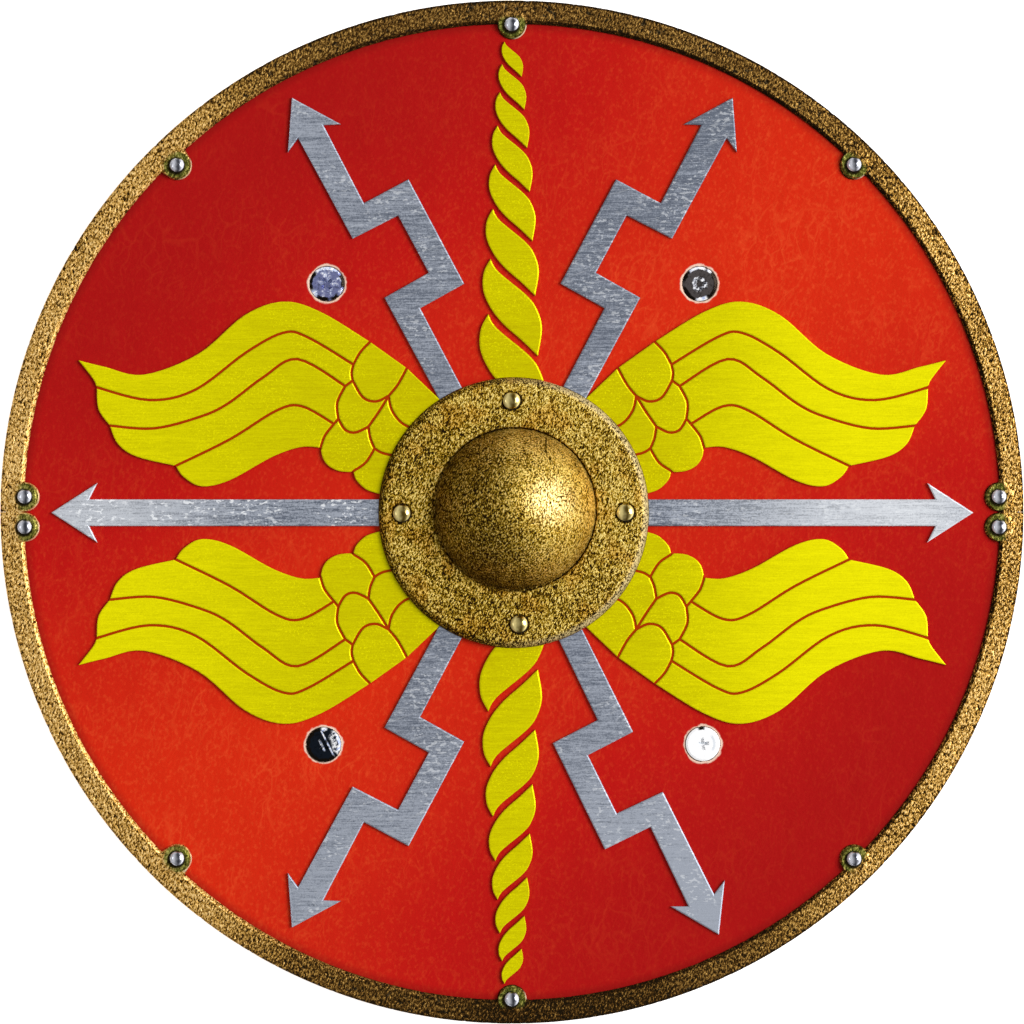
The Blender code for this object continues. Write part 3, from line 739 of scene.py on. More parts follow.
def make_rim_brass():
    """The edging is dull at the shield's top and foot, and has a greenish lobe round each rivet."""
    f = AgedBrass("pitted rim brass", 1950.0, 4.8)
    top, foot = f.ramp(f.towards(84), 0.60, 0.98), f.ramp(f.towards(274), 0.70, 1.0)
    shade = f.towards(20)
    # Painted light and shade: darker towards the upper right, lighter at the left.
    painted_side_shade = f.ramp(f.towards(22), 0.76, 0.96) - f.ramp(f.towards(180), 0.76, 0.96)
    lowest = f.ramp(f.towards(276), 0.965, 0.998)
    bevel = f.ramp(f.reach, RIM_INNER + 1.3 * MM, RIM_INNER + 0.9 * MM)
    outer = f.ramp(f.reach, SHIELD_RADIUS - 1.0 * MM, SHIELD_RADIUS - 0.2 * MM)
    f.light = f.light * (1 - top * 0.45 - foot * 0.42) - 0.02 - painted_side_shade * 0.09
    f.light = f.light - top * 0.06 - foot * 0.14 - lowest * 0.10
    # Painted shade and light: the lip lighter at the left, darker at the right; the outer edge darker, most
    # at the right.
    f.light = f.light - bevel * (shade * 0.26 + 0.14) - outer * (shade * 0.20 + 0.26)
    colour, black = f.toned(RIM_TONES)
    colour = f.mix((top + foot) * f.ramp(f.light, 0.1, 0.5) * 0.4, colour, DULL_BRASS)
    lobe = f.attribute("lobe_place", out="Vector")
    across, along = f.axis(lobe, "X"), f.axis(lobe, "Y")
    out = distance(across, along)
    leather_side = f.ramp(f.reach, RIM_INNER + 2.8 * MM, RIM_INNER + 0.4 * MM)
    front = f.ramp(f.z, BOARD_BACK, BOARD_FRONT)
    inside = f.ramp(out, 4.1 * MM, 3.8 * MM) * leather_side * front
    turn = along.math("ARCTAN2", along, across)
    ray = f.add("ShaderNodeCombineXYZ", {}, {"X": turn * 4.2, "Y": out * 350.0})
    rays = f.add("ShaderNodeTexNoise", {}, {"Vector": ray, "Scale": 1.0, "Detail": 3.0})
    bloom = f.stops(rays * 0.6 + f.grain * 1.1 - 0.36, *LOBE_TONES)
    colour = f.mix(inside * 0.92, colour, bloom)
    # Painted highlight: a cream edge on each lobe's lower right, on the leather side.
    edge = f.ramp(out, 3.9 * MM, 4.1 * MM) * f.ramp(out, 4.6 * MM, 4.4 * MM)
    edge = edge * f.ramp((across - along * 0.5) / out, 0.4, 1.0)
    edge = edge * f.ramp(f.reach, RIM_INNER, RIM_INNER - 0.6 * MM)
    colour = f.mix(edge * front * 0.75, colour, LOBE_HIGHLIGHT)
    # Dirt and painted shadow: a black ring round each rivet, set off to the lower left.
    dirt_and_shadow = f.ramp(distance(across + 0.35 * MM, along + 0.20 * MM), 2.95 * MM, 2.35 * MM)
    colour = f.mix(dirt_and_shadow * front * 0.95, colour, PIT_AND_SHADE_BLACK)
    height = f.height * (1 - inside * 0.5) + rays * inside * 0.08 * MM
    return f.worn(height, colour, black * (1 - inside))


rim_brass = make_rim_brass()
print(rim_brass.name)

# %% The boss's brass
BOSS_TONES = (
    (0.0, PIT_AND_SHADE_BLACK), (0.24, rgb(80, 53, 1)), (0.46, rgb(153, 119, 18)), (0.68, rgb(218, 178, 58)),
    (1.0, rgb(250, 226, 142)),
)
RUST_TINT = (0.85, 0.66, 0.35, 1.0)
EDGE_HIGHLIGHT = rgb(206, 188, 140)
GLARE = rgb(255, 246, 222)
GLARE_PLACE = (0.43, 0.10)
# Each scar in the boss: its place, half its width and half its length, in millimetres.
SCARS = (
    (26.4, 3.5, 0.30, 1.0), (27.9, 3.4, 0.50, 0.9), (11.0, 15.6, 0.45, 0.7), (9.9, 19.1, 0.35, 2.6),
    (29.4, 18.0, 0.45, 0.7),
)


def make_boss_brass():
    """The boss has a finer grain, dark runs, a few scars, and painted light and shade in several places."""
    f = AgedBrass("granular boss brass", 2500.0, 5.8)
    across, along = f.x - BOSS_CENTRE.x, f.y - BOSS_CENTRE.y
    out = distance(across, along)
    right, up = (f.x - DOME_CENTRE.x) / DOME_RADIUS, (f.y - DOME_CENTRE.y) / DOME_RADIUS
    ring = distance(right, up)
    dome = f.ramp(ring, 1.02, 0.98)
    # Painted shade: the seam is darkened, most on its upper right.
    seam = f.ramp(abs(ring - 1.010), 0.013, 0.005) * f.ramp(right * 0.8 + up * 0.6, -0.6, 0.2)
    runs = f.ramp(f.noise((420.0, 30.0, 170.0), detail=3.0), 0.40, 0.30)
    # Painted light: the flange is lighter towards the upper right.
    painted_flange_light = (across * 0.45 + along * 0.65) / BOSS_RADIUS
    patches = f.noise(110.0, detail=2.0) - 0.5
    f.light = f.light - 0.05 - runs * 0.22 + painted_flange_light * 0.10 - seam * 0.7 + patches * 0.36
    # Painted light and shade: the dome lighter on its right, darker on its left.
    lit = f.ramp(right * 0.95 + up * 0.3, -0.45, 0.40)
    f.light = f.light + dome * (lit * 0.33 - 0.18)
    # Painted shadow: a dark ring round each rivet.
    for x, y in BOSS_RIVETS:
        f.light = f.light - f.ramp(distance(f.x - x, f.y - y), 3.4 * MM, 2.7 * MM) * 0.6
    for x, y, wide, tall in SCARS:
        scar = f.ramp(abs(f.x - x * MM), wide * MM, wide * 0.4 * MM)
        f.light = f.light - scar * f.ramp(abs(f.y - y * MM), tall * MM, tall * 0.6 * MM) * 0.6
    # Painted shade on the outer edge's left side, and further down a painted highlight on its right side.
    edge = f.ramp(out, BOSS_RADIUS - 2.4 * MM, BOSS_RADIUS - 0.9 * MM)
    side = f.ramp(across / out, -0.3, 0.6)
    f.light = f.light - edge * (1 - side) * 0.26
    colour, black = f.toned(BOSS_TONES)
    rust = f.ramp(f.noise(130.0, detail=3.0), 0.52, 0.36)
    colour = f.mix(rust * (0.7 - dome * 0.5), colour, RUST_TINT, "MULTIPLY")
    # Painted highlight: a near-white glare on the dome's lit side.
    glare = f.ramp((right - GLARE_PLACE[0]) ** 2.0 + (up - GLARE_PLACE[1]) ** 2.0, 0.16, 0.0)
    colour = f.mix(glare * dome * f.ramp(f.light, 0.3, 0.8) * 0.22, colour, GLARE)
    colour = f.mix(edge * side * f.ramp(f.light, 0.1, 0.5) * 0.85, colour, EDGE_HIGHLIGHT)
    return f.worn(f.height, colour, black.over(edge * 0.5))


boss_brass = make_boss_brass()
print(boss_brass.name)

# %% [markdown]
# ## Shapes made of rings
# The edging, the boss, the screws, the nuts and the straps are all rows of rings: closed lines of points,
# set one after the other and joined. Where a surface closes towards its middle, a ring may have half as
# many points as the one before it, and the join then takes two small triangles and one between them.

# %% Joining rings
ROUNDED_EDGE = math.radians(60)


def stitch_rings(bm, first, second):
    """Faces between two rings, where one may have twice as many points as the other."""
    if len(first) == len(second):
        for step in range(len(first)):
            after = (step + 1) % len(first)
            bm.faces.new((first[step], first[after], second[after], second[step]))
        return
    many, few = (first, second) if len(first) > len(second) else (second, first)
    for step in range(len(few)):
        after = (step + 1) % len(few)
        left, middle, right = many[2 * step], many[2 * step + 1], many[(2 * step + 2) % len(many)]
        bm.faces.new((few[step], left, middle))
        bm.faces.new((few[step], middle, few[after]))
        bm.faces.new((few[after], middle, right))


def join_rings(bm, rings, capped=True):
    """Faces from each ring to the next, and over both ends."""
    for first, second in zip(rings, rings[1:]):
        stitch_rings(bm, first, second)
    if capped:
        bm.faces.new(rings[0])
        bm.faces.new(rings[-1])
    bmesh.ops.recalc_face_normals(bm, faces=bm.faces)


print("rings are joined into closed solids")

# %% [markdown]
# ## The channel
# The edging is two half rings of bent sheet. A half ring is one section, set at many angles and joined
# from each to the next. Where a rivet sits, the section's inner end reaches in to follow a round lobe, so
# the angles lie closer together there. Its outer corners are rounded, as a hammered sheet's are.

# %% The rim's section
RIM_SHEET = RIM_FRONT - PLATE_BACK
CHANNEL_BACK = RIM_BACK + RIM_SHEET
CORNER = 0.8 * MM
LIP = 1.0 * MM
LIP_DROP = 0.75 * MM
LIP_SLOPE = 0.1 * MM
FOOT = 0.3 * MM


def arc(middle, radius, start, end, steps):
    """(radius, height) points round a corner, by angles in degrees."""
    points = []
    for step in range(steps + 1):
        turn = math.radians(start + (end - start) * step / steps)
        points.append((middle[0] + radius * math.cos(turn), middle[1] + radius * math.sin(turn)))
    return points


def between(start, end, steps):
    """The points inside a straight run, without its two ends."""
    shares = [step / steps for step in range(1, steps)]
    return [tuple(a + (b - a) * share for a, b in zip(start, end)) for share in shares]


def rim_section(inner):
    """The channel's outline from its outer back corner round, as (radius, height) points."""
    outer = SHIELD_RADIUS - CORNER
    back = arc((outer, RIM_BACK + CORNER), CORNER, -90, 0, 4)
    front = arc((outer, RIM_FRONT - CORNER), CORNER, 0, 90, 5)
    points = back + between(back[-1], front[0], 16) + front
    lip, brink = (inner + LIP, RIM_FRONT), (inner + LIP_SLOPE, RIM_FRONT - LIP_DROP)
    points += between(front[-1], lip, 22) + [lip] + between(lip, brink, 3) + [brink]
    wall = SHIELD_RADIUS - RIM_SHEET
    points += [(inner, PLATE_BACK), (wall, PLATE_BACK), (wall, CHANNEL_BACK), (inner, CHANNEL_BACK)]
    foot = arc((inner + FOOT, RIM_BACK + FOOT), FOOT, 180, 270, 3)
    return points + foot + between(foot[-1], back[0], 14)


print(len(rim_section(RIM_INNER)), "points in the rim's section")

# %% The rim's mesh
LOBE_RADIUS = 4.3 * MM
LOBE_RISE = 0.2 * MM
LOBE_STEPS = 44
RIM_STEP = 0.20
JOINT = 0.03 * MM
CALM_REACH = 4.5 * MM
CALM_FADE = 0.6 * MM


def lobes_of(rivets):
    """(angle in degrees, distance from the middle) of each rivet, mirrored into the upper half."""
    return sorted((math.degrees(math.atan2(abs(y), x)), math.hypot(x, y)) for x, y in rivets)


def inner_reach(degrees, lobes):
    inner = RIM_INNER
    for angle, place in lobes:
        off = math.radians(degrees - angle)
        room = LOBE_RADIUS**2 - (place * math.sin(off)) ** 2
        if room >= 0:
            inner = min(inner, place * math.cos(off) - math.sqrt(room))
    return inner


def make_rim(name, side, rivets):
    lobes = lobes_of(rivets)
    angles = []
    for angle, place in lobes:
        half = math.degrees(math.asin(LOBE_RADIUS / place))
        if angles:
            steps = round((angle - half - angles[-1]) / RIM_STEP)
            angles += [spot[0] for spot in between((angles[-1],), (angle - half,), steps)]
        turns = [math.pi * step / LOBE_STEPS for step in range(LOBE_STEPS + 1)]
        angles += [angle - half * math.cos(turn) for turn in turns]
    bm = bmesh.new()
    place_layer = bm.verts.layers.float_vector.new("lobe_place")
    calm_layer = bm.verts.layers.float.new("calm")
    rings = []
    for degrees in angles:
        turn = math.radians(degrees)
        ring = []
        for radius, height in rim_section(inner_reach(degrees, lobes)):
            x, y = radius * math.cos(turn), side * radius * math.sin(turn)
            if degrees in (angles[0], angles[-1]):
                y = side * JOINT / 2
            off = min(((x - rx, y - ry) for rx, ry in rivets), key=lambda gap: math.hypot(*gap))
            calm = min(max((CALM_REACH - math.hypot(*off)) / CALM_FADE, 0.0), 1.0)
            if height > RIM_FRONT - MM / 10:
                height += LOBE_RISE * calm
            vert = bm.verts.new((x, y, height))
            vert[place_layer] = (*off, 0.0)
            vert[calm_layer] = 1.0 if degrees in (angles[0], angles[-1]) else calm
            ring.append(vert)
        rings.append(ring)
    join_rings(bm, rings)
    return add_mesh(name, bm, rim_brass, sharp=ROUNDED_EDGE)


rim_pitting = pitting_tree(rim_brass)
for name, side, rivets, seed in (("upper", 1, RIM_RIVETS[:5], 3), ("lower", -1, RIM_RIVETS[5:], 4)):
    rim = make_rim(f"brass_rim_{name}", side, rivets)
    run_tree(rim, rim_pitting, Seed=seed)
    join_shield(rim, "rim_brass", f"rim_{name}")

# %% [markdown]
# ## The boss
# The boss is one pressed sheet: a flat flange, a dome that stands a little off its middle, and an edge
# that turns down onto the leather. It is a turned shape, so it is made of rings. Near the top of the dome
# a full ring of points would crowd into slivers, so each time the rings have become small enough the
# next one has half as many points.

# %% The boss's mesh
FLANGE_TOP = PLATE_BACK + 3.0 * MM
BOSS_SHEET = 1.2 * MM
FLANGE_ROUNDING = 2.2 * MM
DOME_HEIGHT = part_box("boss")[1].z - FLANGE_TOP
DOME_BALL = (DOME_RADIUS**2 + DOME_HEIGHT**2) / (2 * DOME_HEIGHT)
# The seam round the dome's foot: how far out a point lies, and its share of the seam's depth.
SEAM_DEPTH = 0.6 * MM
SEAM_STEPS = ((0.18 * MM, 1.0), (0.36 * MM, 0.5), (0.55 * MM, 0.0))
HOLLOW_STEPS = 24
RING_POINTS = 480
RING_GAP = 0.46 * MM
RING_FEWEST = 30
DOME_SHIFT_ROOM = 9 * MM


def dome_profile(radius, steps):
    """(radius, height above the flange) from the dome's top down to its foot."""
    sweep = math.asin(radius / DOME_BALL)
    turns = [sweep * step / steps for step in range(1, steps + 1)]
    return [(DOME_BALL * math.sin(turn), DOME_HEIGHT - DOME_BALL * (1 - math.cos(turn))) for turn in turns]


def boss_profile():
    """(radius, height) points from the dome's top out to the edge, then back along the inside."""
    steps = round(DOME_BALL * math.asin(DOME_RADIUS / DOME_BALL) / RING_GAP)
    points = [(r, FLANGE_TOP + h) for r, h in dome_profile(DOME_RADIUS, steps)]
    foot = DOME_RADIUS
    points[-1] = (foot, FLANGE_TOP - SEAM_DEPTH)
    points += [(foot + away, FLANGE_TOP - SEAM_DEPTH * deep) for away, deep in SEAM_STEPS]
    edge = BOSS_RADIUS - FLANGE_ROUNDING
    rounding = arc((edge, FLANGE_TOP - FLANGE_ROUNDING), FLANGE_ROUNDING, 90, 0, 8)
    points += between(points[-1], rounding[0], round((edge - foot) / RING_GAP)) + rounding
    points += [(BOSS_RADIUS, PLATE_BACK), (BOSS_RADIUS - BOSS_SHEET, PLATE_BACK)]
    under = FLANGE_TOP - BOSS_SHEET
    points += [(BOSS_RADIUS - BOSS_SHEET, under - BOSS_SHEET / 2), (BOSS_RADIUS - 2 * BOSS_SHEET, under)]
    inner = DOME_RADIUS - BOSS_SHEET
    steps = round((BOSS_RADIUS - DOME_RADIUS) / (3 * RING_GAP))
    points += between(points[-1], (inner, under), steps) + [(inner, under)]
    ball = (inner**2 + DOME_HEIGHT**2) / (2 * DOME_HEIGHT)
    sweep = math.asin(inner / ball)
    turns = [sweep * step / HOLLOW_STEPS for step in range(HOLLOW_STEPS - 1, 0, -1)]
    return points + [(ball * math.sin(t), under + DOME_HEIGHT - ball * (1 - math.cos(t))) for t in turns]


def ring_count(radius):
    """The number of points that keeps a ring's gaps from getting too narrow."""
    count = RING_POINTS
    while count > RING_FEWEST and math.tau * radius / count < RING_GAP * 0.55:
        count //= 2
    return count


def make_boss():
    bm = bmesh.new()
    rings = []
    for radius, height in boss_profile():
        count = ring_count(radius)
        ring = []
        share = 1 - min(max((radius - DOME_RADIUS - MM) / DOME_SHIFT_ROOM, 0.0), 1.0)
        middle = BOSS_CENTRE.lerp(DOME_CENTRE, share * share * (3 - 2 * share))
        for spot in circle((0, 0), radius, count):
            ring.append(bm.verts.new((*(middle + Vector(spot)), height)))
        rings.append(ring)
    for ring, sheet in ((rings[0], 0.0), (rings[-1], BOSS_SHEET)):
        top = bm.verts.new((*DOME_CENTRE, FLANGE_TOP + DOME_HEIGHT - sheet))
        for step in range(len(ring)):
            bm.faces.new((ring[step], ring[(step + 1) % len(ring)], top))
    join_rings(bm, rings, capped=False)
    return add_mesh("brass_boss", bm, boss_brass, sharp=ROUNDED_EDGE)


boss = make_boss()
boss_pitting = pitting_tree(boss_brass)
run_tree(boss, boss_pitting, Pit_Size=1.3 * MM, Pit_Depth=0.08 * MM, Grain_Depth=0.06 * MM, Seed=8)
join_shield(boss, "boss_brass", "boss")

# %% [markdown]
# ## Rivets
# A rivet is a small dome on a pin. Geometry Nodes can roll one up from a flat grid: one side of the grid
# becomes the turn round the axis, and the other runs down the profile, from the top over the dome, in
# under the head and down the pin. A few clamped ramps say where each stretch begins. Copies of it then go
# to points that lie where the model has its rivets.

# %% The rivet tree
RIVET_SIDES = 28
RIVET_ROWS = 10
RIVET_RISE = 1.3 * MM
# The shares of the profile at which the dome, the head's underside and the pin end.
DOME_SHARE = 0.6
UNDER_SHARE = 0.7
PIN_SHARE = 0.9


def rolled_grid(graph, sides, rows, radius_of, height_of):
    """A grid rolled into a closed turned shape. Both functions take the share down the profile."""
    sockets = {"Size X": 1.0, "Size Y": 1.0, "Vertices X": sides + 1, "Vertices Y": rows + 1}
    sheet = graph.add("GeometryNodeMeshGrid", {}, sockets)
    flat = graph.add("GeometryNodeInputPosition")
    turn = (graph.axis(flat, "X") + 0.5) * math.tau
    share = graph.axis(flat, "Y") + 0.5
    radius = radius_of(share)
    spot = {"X": radius * turn.math("COSINE", turn), "Y": radius * turn.math("SINE", turn)}
    spot["Z"] = height_of(share)
    place = graph.add("ShaderNodeCombineXYZ", {}, spot)
    rolled = graph.add("GeometryNodeSetPosition", {}, {"Geometry": sheet, "Position": place})
    return graph.add("GeometryNodeMergeByDistance", {}, {"Geometry": rolled, "Distance": 0.01 * MM})


def straight(graph, value, low, high):
    """0 below low, 1 above high, and a straight slope between."""
    return graph.add("ShaderNodeMapRange", {}, {"Value": value, "From Min": low, "From Max": high})


def rivet_tree(material):
    graph, points, size = new_tree(
        "rivets", Head_Radius=2.2 * MM, Head_Height=RIVET_RISE, Pin_Radius=1.1 * MM, Pin_Length=9.0 * MM
    )

    def radius_of(share):
        over_dome = straight(graph, share, 0.0, DOME_SHARE) * (math.pi / 2)
        radius = size["Head_Radius"] * share.math("SINE", over_dome)
        under = straight(graph, share, DOME_SHARE, UNDER_SHARE)
        radius = radius - (size["Head_Radius"] - size["Pin_Radius"]) * under
        return radius - size["Pin_Radius"] * straight(graph, share, PIN_SHARE, 1.0)

    def height_of(share):
        over_dome = straight(graph, share, 0.0, DOME_SHARE) * (math.pi / 2)
        height = size["Head_Height"] * share.math("COSINE", over_dome)
        return height - size["Pin_Length"] * straight(graph, share, UNDER_SHARE, PIN_SHARE)

    rivet = rolled_grid(graph, RIVET_SIDES, RIVET_ROWS, radius_of, height_of)
    copies = graph.add("GeometryNodeInstanceOnPoints", {}, {"Points": points, "Instance": rivet})
    close_tree(graph, copies, material)
    return graph


def add_points(name, places, edges=()):
    """A mesh of bare points, with or without edges, for a tree to set copies on."""
    mesh = bpy.data.meshes.new(name)
    mesh.from_pydata(places, list(edges), [])
    return add_object(name, mesh)


print("rivets are rolled from a grid of", RIVET_SIDES, "by", RIVET_ROWS, "cells")

# %% [markdown]
# The rim's rivets are polished steel, the boss's are brass. Both are smooth, so that they mirror the two
# softboxes as two bright spots. A darker band over the top is a painted reflection, the flanks beside it
# are made less metallic as a painted highlight, and the ring round the foot, wider at the right and
# bottom, is dirt and painted shadow. All follow from the way that the surface faces, which the Geometry
# node gives.

# %% The rivets
BOSS_RIVET_RADIUS = 2.6 * MM


def make_rivet_metal(name, bright, dark_reflection, dirt_and_shadow):
    f = Finish(name)
    right, up, out = (f.facing(axis) for axis in "XYZ")
    cloud = f.noise(600.0, detail=2.0)
    # Painted reflection: a darker band down the middle of the head.
    band = f.ramp(abs(right - 0.12) + (cloud - 0.5) * 0.4, 0.38, 0.0)
    colour = f.mix(band, bright, dark_reflection)
    # Dirt and painted shadow round the foot, wider at the right and bottom.
    foot = f.ramp(out - right * 0.16 + up * 0.30, 0.56, 0.34)
    colour = f.mix(foot, colour, dirt_and_shadow)
    # Painted highlight: the flanks beside the band are less metallic, so they stay bright.
    shine = f.ramp(abs(right - 0.12), 0.20, 0.50) * (1 - foot)
    metal = 1.0 - shine * 0.65 - foot * 0.6
    return f.finished(Base_Color=colour, Metallic=metal, Roughness=0.20 + foot * 0.45)


def set_rivets(node, material, places, slot, **sizes):
    """One kind of rivet at all its places, on pins as long as the model's."""
    low, top = heights(node + "_1")
    seat = top - RIVET_RISE
    rivets = add_points(node + "s", [(x, y, seat) for x, y in places])
    run_tree(rivets, rivet_tree(material), Pin_Length=seat - low, **sizes)
    rivets.data.set_sharp_from_angle(angle=SHARP_EDGE)
    join_shield(rivets, slot, *numbered(node, len(places)))


steel = make_rivet_metal("polished rivet steel", rgb(236, 238, 248), rgb(78, 80, 90), rgb(14, 14, 14))
rubbed_brass = make_rivet_metal(
    "rubbed rivet brass", rgb(252, 230, 152), rgb(106, 84, 28), rgb(16, 11, 4)
)
set_rivets("rim_rivet", steel, RIM_RIVETS, "rivet_steel")
set_rivets("boss_rivet", rubbed_brass, BOSS_RIVETS, "rivet_brass", Head_Radius=BOSS_RIVET_RADIUS)

# %% [markdown]
# ## Brushed plates
# The emblem is cut from thin sheet. Silver and yellow plates are both brushed from side to side, which
# leaves fine level lines: a noise that is stretched a long way along X and is very fine across it. The
# silver is bare metal, with the odd scratch, and a painted reflection makes it lighter further out and at
# the arrows' tips. The yellow is a clear lemon lacquer over the same brushing, with a painted sheen that
# is lighter towards the sides, and red enamel fills its grooves, so its colour depends on height and on
# which way the surface faces.

# %% The plates' materials
SILVER_DARK = rgb(114, 122, 138)
SILVER = rgb(189, 196, 210)
SILVER_LIGHT = rgb(248, 251, 255)
LEMON_DEEP = rgb(180, 164, 2)
LEMON = rgb(204, 196, 2)
LEMON_BRIGHT = rgb(242, 234, 6)
ENAMEL_RED = rgb(168, 36, 6)
LACQUER_SHEEN = (1.0, 0.86, 0.02, 1.0)
GROOVE_FLOOR = PLATE_FRONT - 0.4 * MM


def brushing(f):
    """Level brush lines, about 0.5 in the middle: some streaks, many hairlines and a little speckle."""
    streak = f.noise((40.0, 1100.0, 60.0), detail=3.0, rough=0.7)
    hair = f.noise((200.0, 3000.0, 60.0), detail=2.0, rough=0.8)
    speckle = f.noise(2600.0, detail=1.0)
    return streak * 0.26 + hair * 0.46 + speckle * 0.28


def specks(f, per_metre, rare):
    """Small bright nicks that come in clusters."""
    cluster = f.ramp(f.noise(70.0, detail=2.0), 0.41, 0.55)
    return f.ramp(f.noise(per_metre, detail=2.0), rare, rare + 0.05) * cluster


def make_silver():
    f = Finish("brushed silver")
    lines = brushing(f)
    on_arrow = f.ramp(abs(f.y), 14 * MM, 11 * MM)
    reach = distance(f.x, f.y)
    outward, lower = f.ramp(reach, 60 * MM, 125 * MM), f.ramp(f.y, 20 * MM, -20 * MM)
    # Painted reflection: the silver's tone shifts across the shield and is lighter further out.
    sheen_tone = 0.50 - f.y * 1.9 - f.x * f.y * 36.0 + outward * 0.15 + lower * (outward * 0.30 - 0.12)
    share = sheen_tone + on_arrow * 0.16 + (lines - 0.5) * (4.4 + on_arrow * 4.4)
    colour = f.mix(f.ramp(share, -0.1, 1.1), SILVER_DARK, SILVER)
    # Painted reflection: the arrows lighten towards their tips.
    tip = (f.ramp(f.x, 38 * MM, 118 * MM) * 0.68).over(f.ramp(f.x, -68 * MM, -122 * MM) * 0.48)
    tip = tip - f.ramp(f.x, 121 * MM, 131 * MM) * 0.16
    tip = tip * on_arrow * (0.25 + lines * 1.5)
    colour = f.mix(tip, colour, SILVER_LIGHT)
    scratch = f.ramp(f.noise((70.0, 1400.0, 90.0), detail=3.0, turn=(0, 0, 0.35)), 0.64, 0.70)
    worn_side = on_arrow * f.ramp(f.x, 0.0, -50 * MM)
    nick = specks(f, (650.0, 1300.0, 900.0), 0.575) * (0.45 + worn_side * 0.5)
    colour = f.mix((scratch * 0.22).over(nick), colour, SILVER_LIGHT)
    lit_edge = f.ramp(f.facing("X"), 0.12, 0.3)
    return f.finished(
        height=lines * 0.03 * MM, Base_Color=colour, Metallic=0.8 - tip * 0.35 - nick * 0.3,
        Roughness=0.24 + lines * 0.22 + lit_edge * 0.3,
    )


def make_lemon():
    f = Finish("lemon lacquer on brushed sheet")
    lines = brushing(f)
    right, left = f.ramp(f.x, 35 * MM, 100 * MM), f.ramp(f.x, -50 * MM, -120 * MM)
    lower = f.ramp(f.y, 10 * MM, -10 * MM)
    near = f.ramp(f.x * f.x + f.y * f.y, 0.0042, 0.0018)
    # Painted sheen: lighter towards both sides, most at the right, a little darker near the boss.
    light = lines * 0.55 + 0.225 + right * 0.17 + left * (0.08 + lower * 0.04) + lower * 0.02 - near * 0.03
    colour = f.stops(light, (0.36, LEMON_DEEP), (0.52, LEMON), (0.74, LEMON_BRIGHT))
    colour = f.mix(specks(f, 1700.0, 0.59) * 0.6, colour, LEMON_BRIGHT)
    flat = f.ramp(f.facing("Z"), 0.93, 0.97)
    enamel = f.ramp(f.z, GROOVE_FLOOR + 0.10 * MM, GROOVE_FLOOR + 0.04 * MM) * flat
    colour = f.mix(enamel, colour, ENAMEL_RED)
    return f.finished(
        height=lines * 0.03 * MM, Base_Color=colour, Metallic=0.12, Roughness=0.26 + lines * 0.14,
        Specular_IOR_Level=0.6, Specular_Tint=LACQUER_SHEEN,
    )


silver, lemon = make_silver(), make_lemon()
print(silver.name, "and", lemon.name)

# %% [markdown]
# A plate is built from the outlines of its cells. Each cell is drawn in three times: to the foot of its
# edge, to the start of a small bevel and to its flat top. An edge that two cells share is drawn in further,
# and what stays low between them is the engraved groove. Drawing an outline in by a set width makes it
# cross itself at a sharp tip, so points that would come too near any edge are moved to a neighbour that
# doesn't.

# %% Smooth lines and outlines drawn in
NEARLY_STRAIGHT = 0.12
TOO_NEAR = 0.985


def smooth(points, steps=2):
    """The points of a smooth curve through the given ones."""
    knots = [Vector(point) for point in points]
    line = [points[0]]
    for index in range(len(knots) - 1):
        start, end = knots[index], knots[index + 1]
        leaving = start + (end - knots[max(index - 1, 0)]) / 6
        arriving = end - (knots[min(index + 2, len(knots) - 1)] - start) / 6
        span = interpolate_bezier(start, leaving, arriving, end, steps + 1)
        line += [tuple(point) for point in span[1:-1]]
        line.append(points[index + 1])
    return line


def drawn_in(points, widths):
    """The outline moved inward, edge by edge, by its widths. Edge i starts at point i."""
    outline = np.array(points)
    edges = np.roll(outline, -1, axis=0) - outline
    edges /= np.linalg.norm(edges, axis=1)[:, None]
    normals = np.stack((-edges[:, 1], edges[:, 0]), axis=1)
    moved = []
    for index in range(len(points)):
        before, after = normals[index - 1], normals[index]
        first, second = widths[index - 1], widths[index]
        turn = before[0] * after[1] - before[1] * after[0]
        if abs(turn) > NEARLY_STRAIGHT:
            along = first * after[1] - second * before[1], second * before[0] - first * after[0]
            shift = np.array(along) / turn
        else:
            middle = before + after
            shift = middle / (middle @ middle) * (first + second)
        moved.append(outline[index] + shift)
    ends = np.roll(outline, -1, axis=0)
    run = ends - outline
    valid = []
    for spot in moved:
        share = np.clip(((spot - outline) * run).sum(1) / (run * run).sum(1), 0, 1)
        gap = np.linalg.norm(outline + run * share[:, None] - spot, axis=1)
        valid.append(bool((gap > np.array(widths) * TOO_NEAR).all()))
    count = len(moved)
    for index in range(count):
        if not valid[index]:
            steps = next(n for n in range(1, count) if valid[(index + n) % count] or valid[index - n])
            near = (index + steps) % count if valid[(index + steps) % count] else index - steps
            moved[index] = moved[near]
    return [tuple(spot) for spot in moved]


print("a curve through 3 points has", len(smooth(((0, 0), (1, 1), (2, 0)))), "points")

# %% A plate from its cells
PLATE_FOOT = PLATE_BACK - 0.2 * MM
GROOVE_HALF = 0.35 * MM
LEDGE = 0.02 * MM
WALL_LEAN = 0.05 * MM
BEVEL = 0.34 * MM
BEVEL_DROP = 0.14 * MM


def signed_area(points):
    return sum(a[0] * b[1] - b[0] * a[1] for a, b in zip(points, points[1:] + points[:1])) / 2


class PlateMesh:
    """A mesh whose corners are shared wherever two points are the same."""

    def __init__(self):
        self.bm = bmesh.new()
        self.corners = {}

    def vert(self, point, height):
        key = (round(point[0] * 1e7), round(point[1] * 1e7), round(height * 1e7))
        if key not in self.corners:
            self.corners[key] = self.bm.verts.new((*point, height))
        return self.corners[key]

    def face(self, *corners):
        verts = list(dict.fromkeys(self.vert(point, height) for point, height in corners))
        if len(verts) > 2 and not self.bm.faces.get(verts):
            self.bm.faces.new(verts)


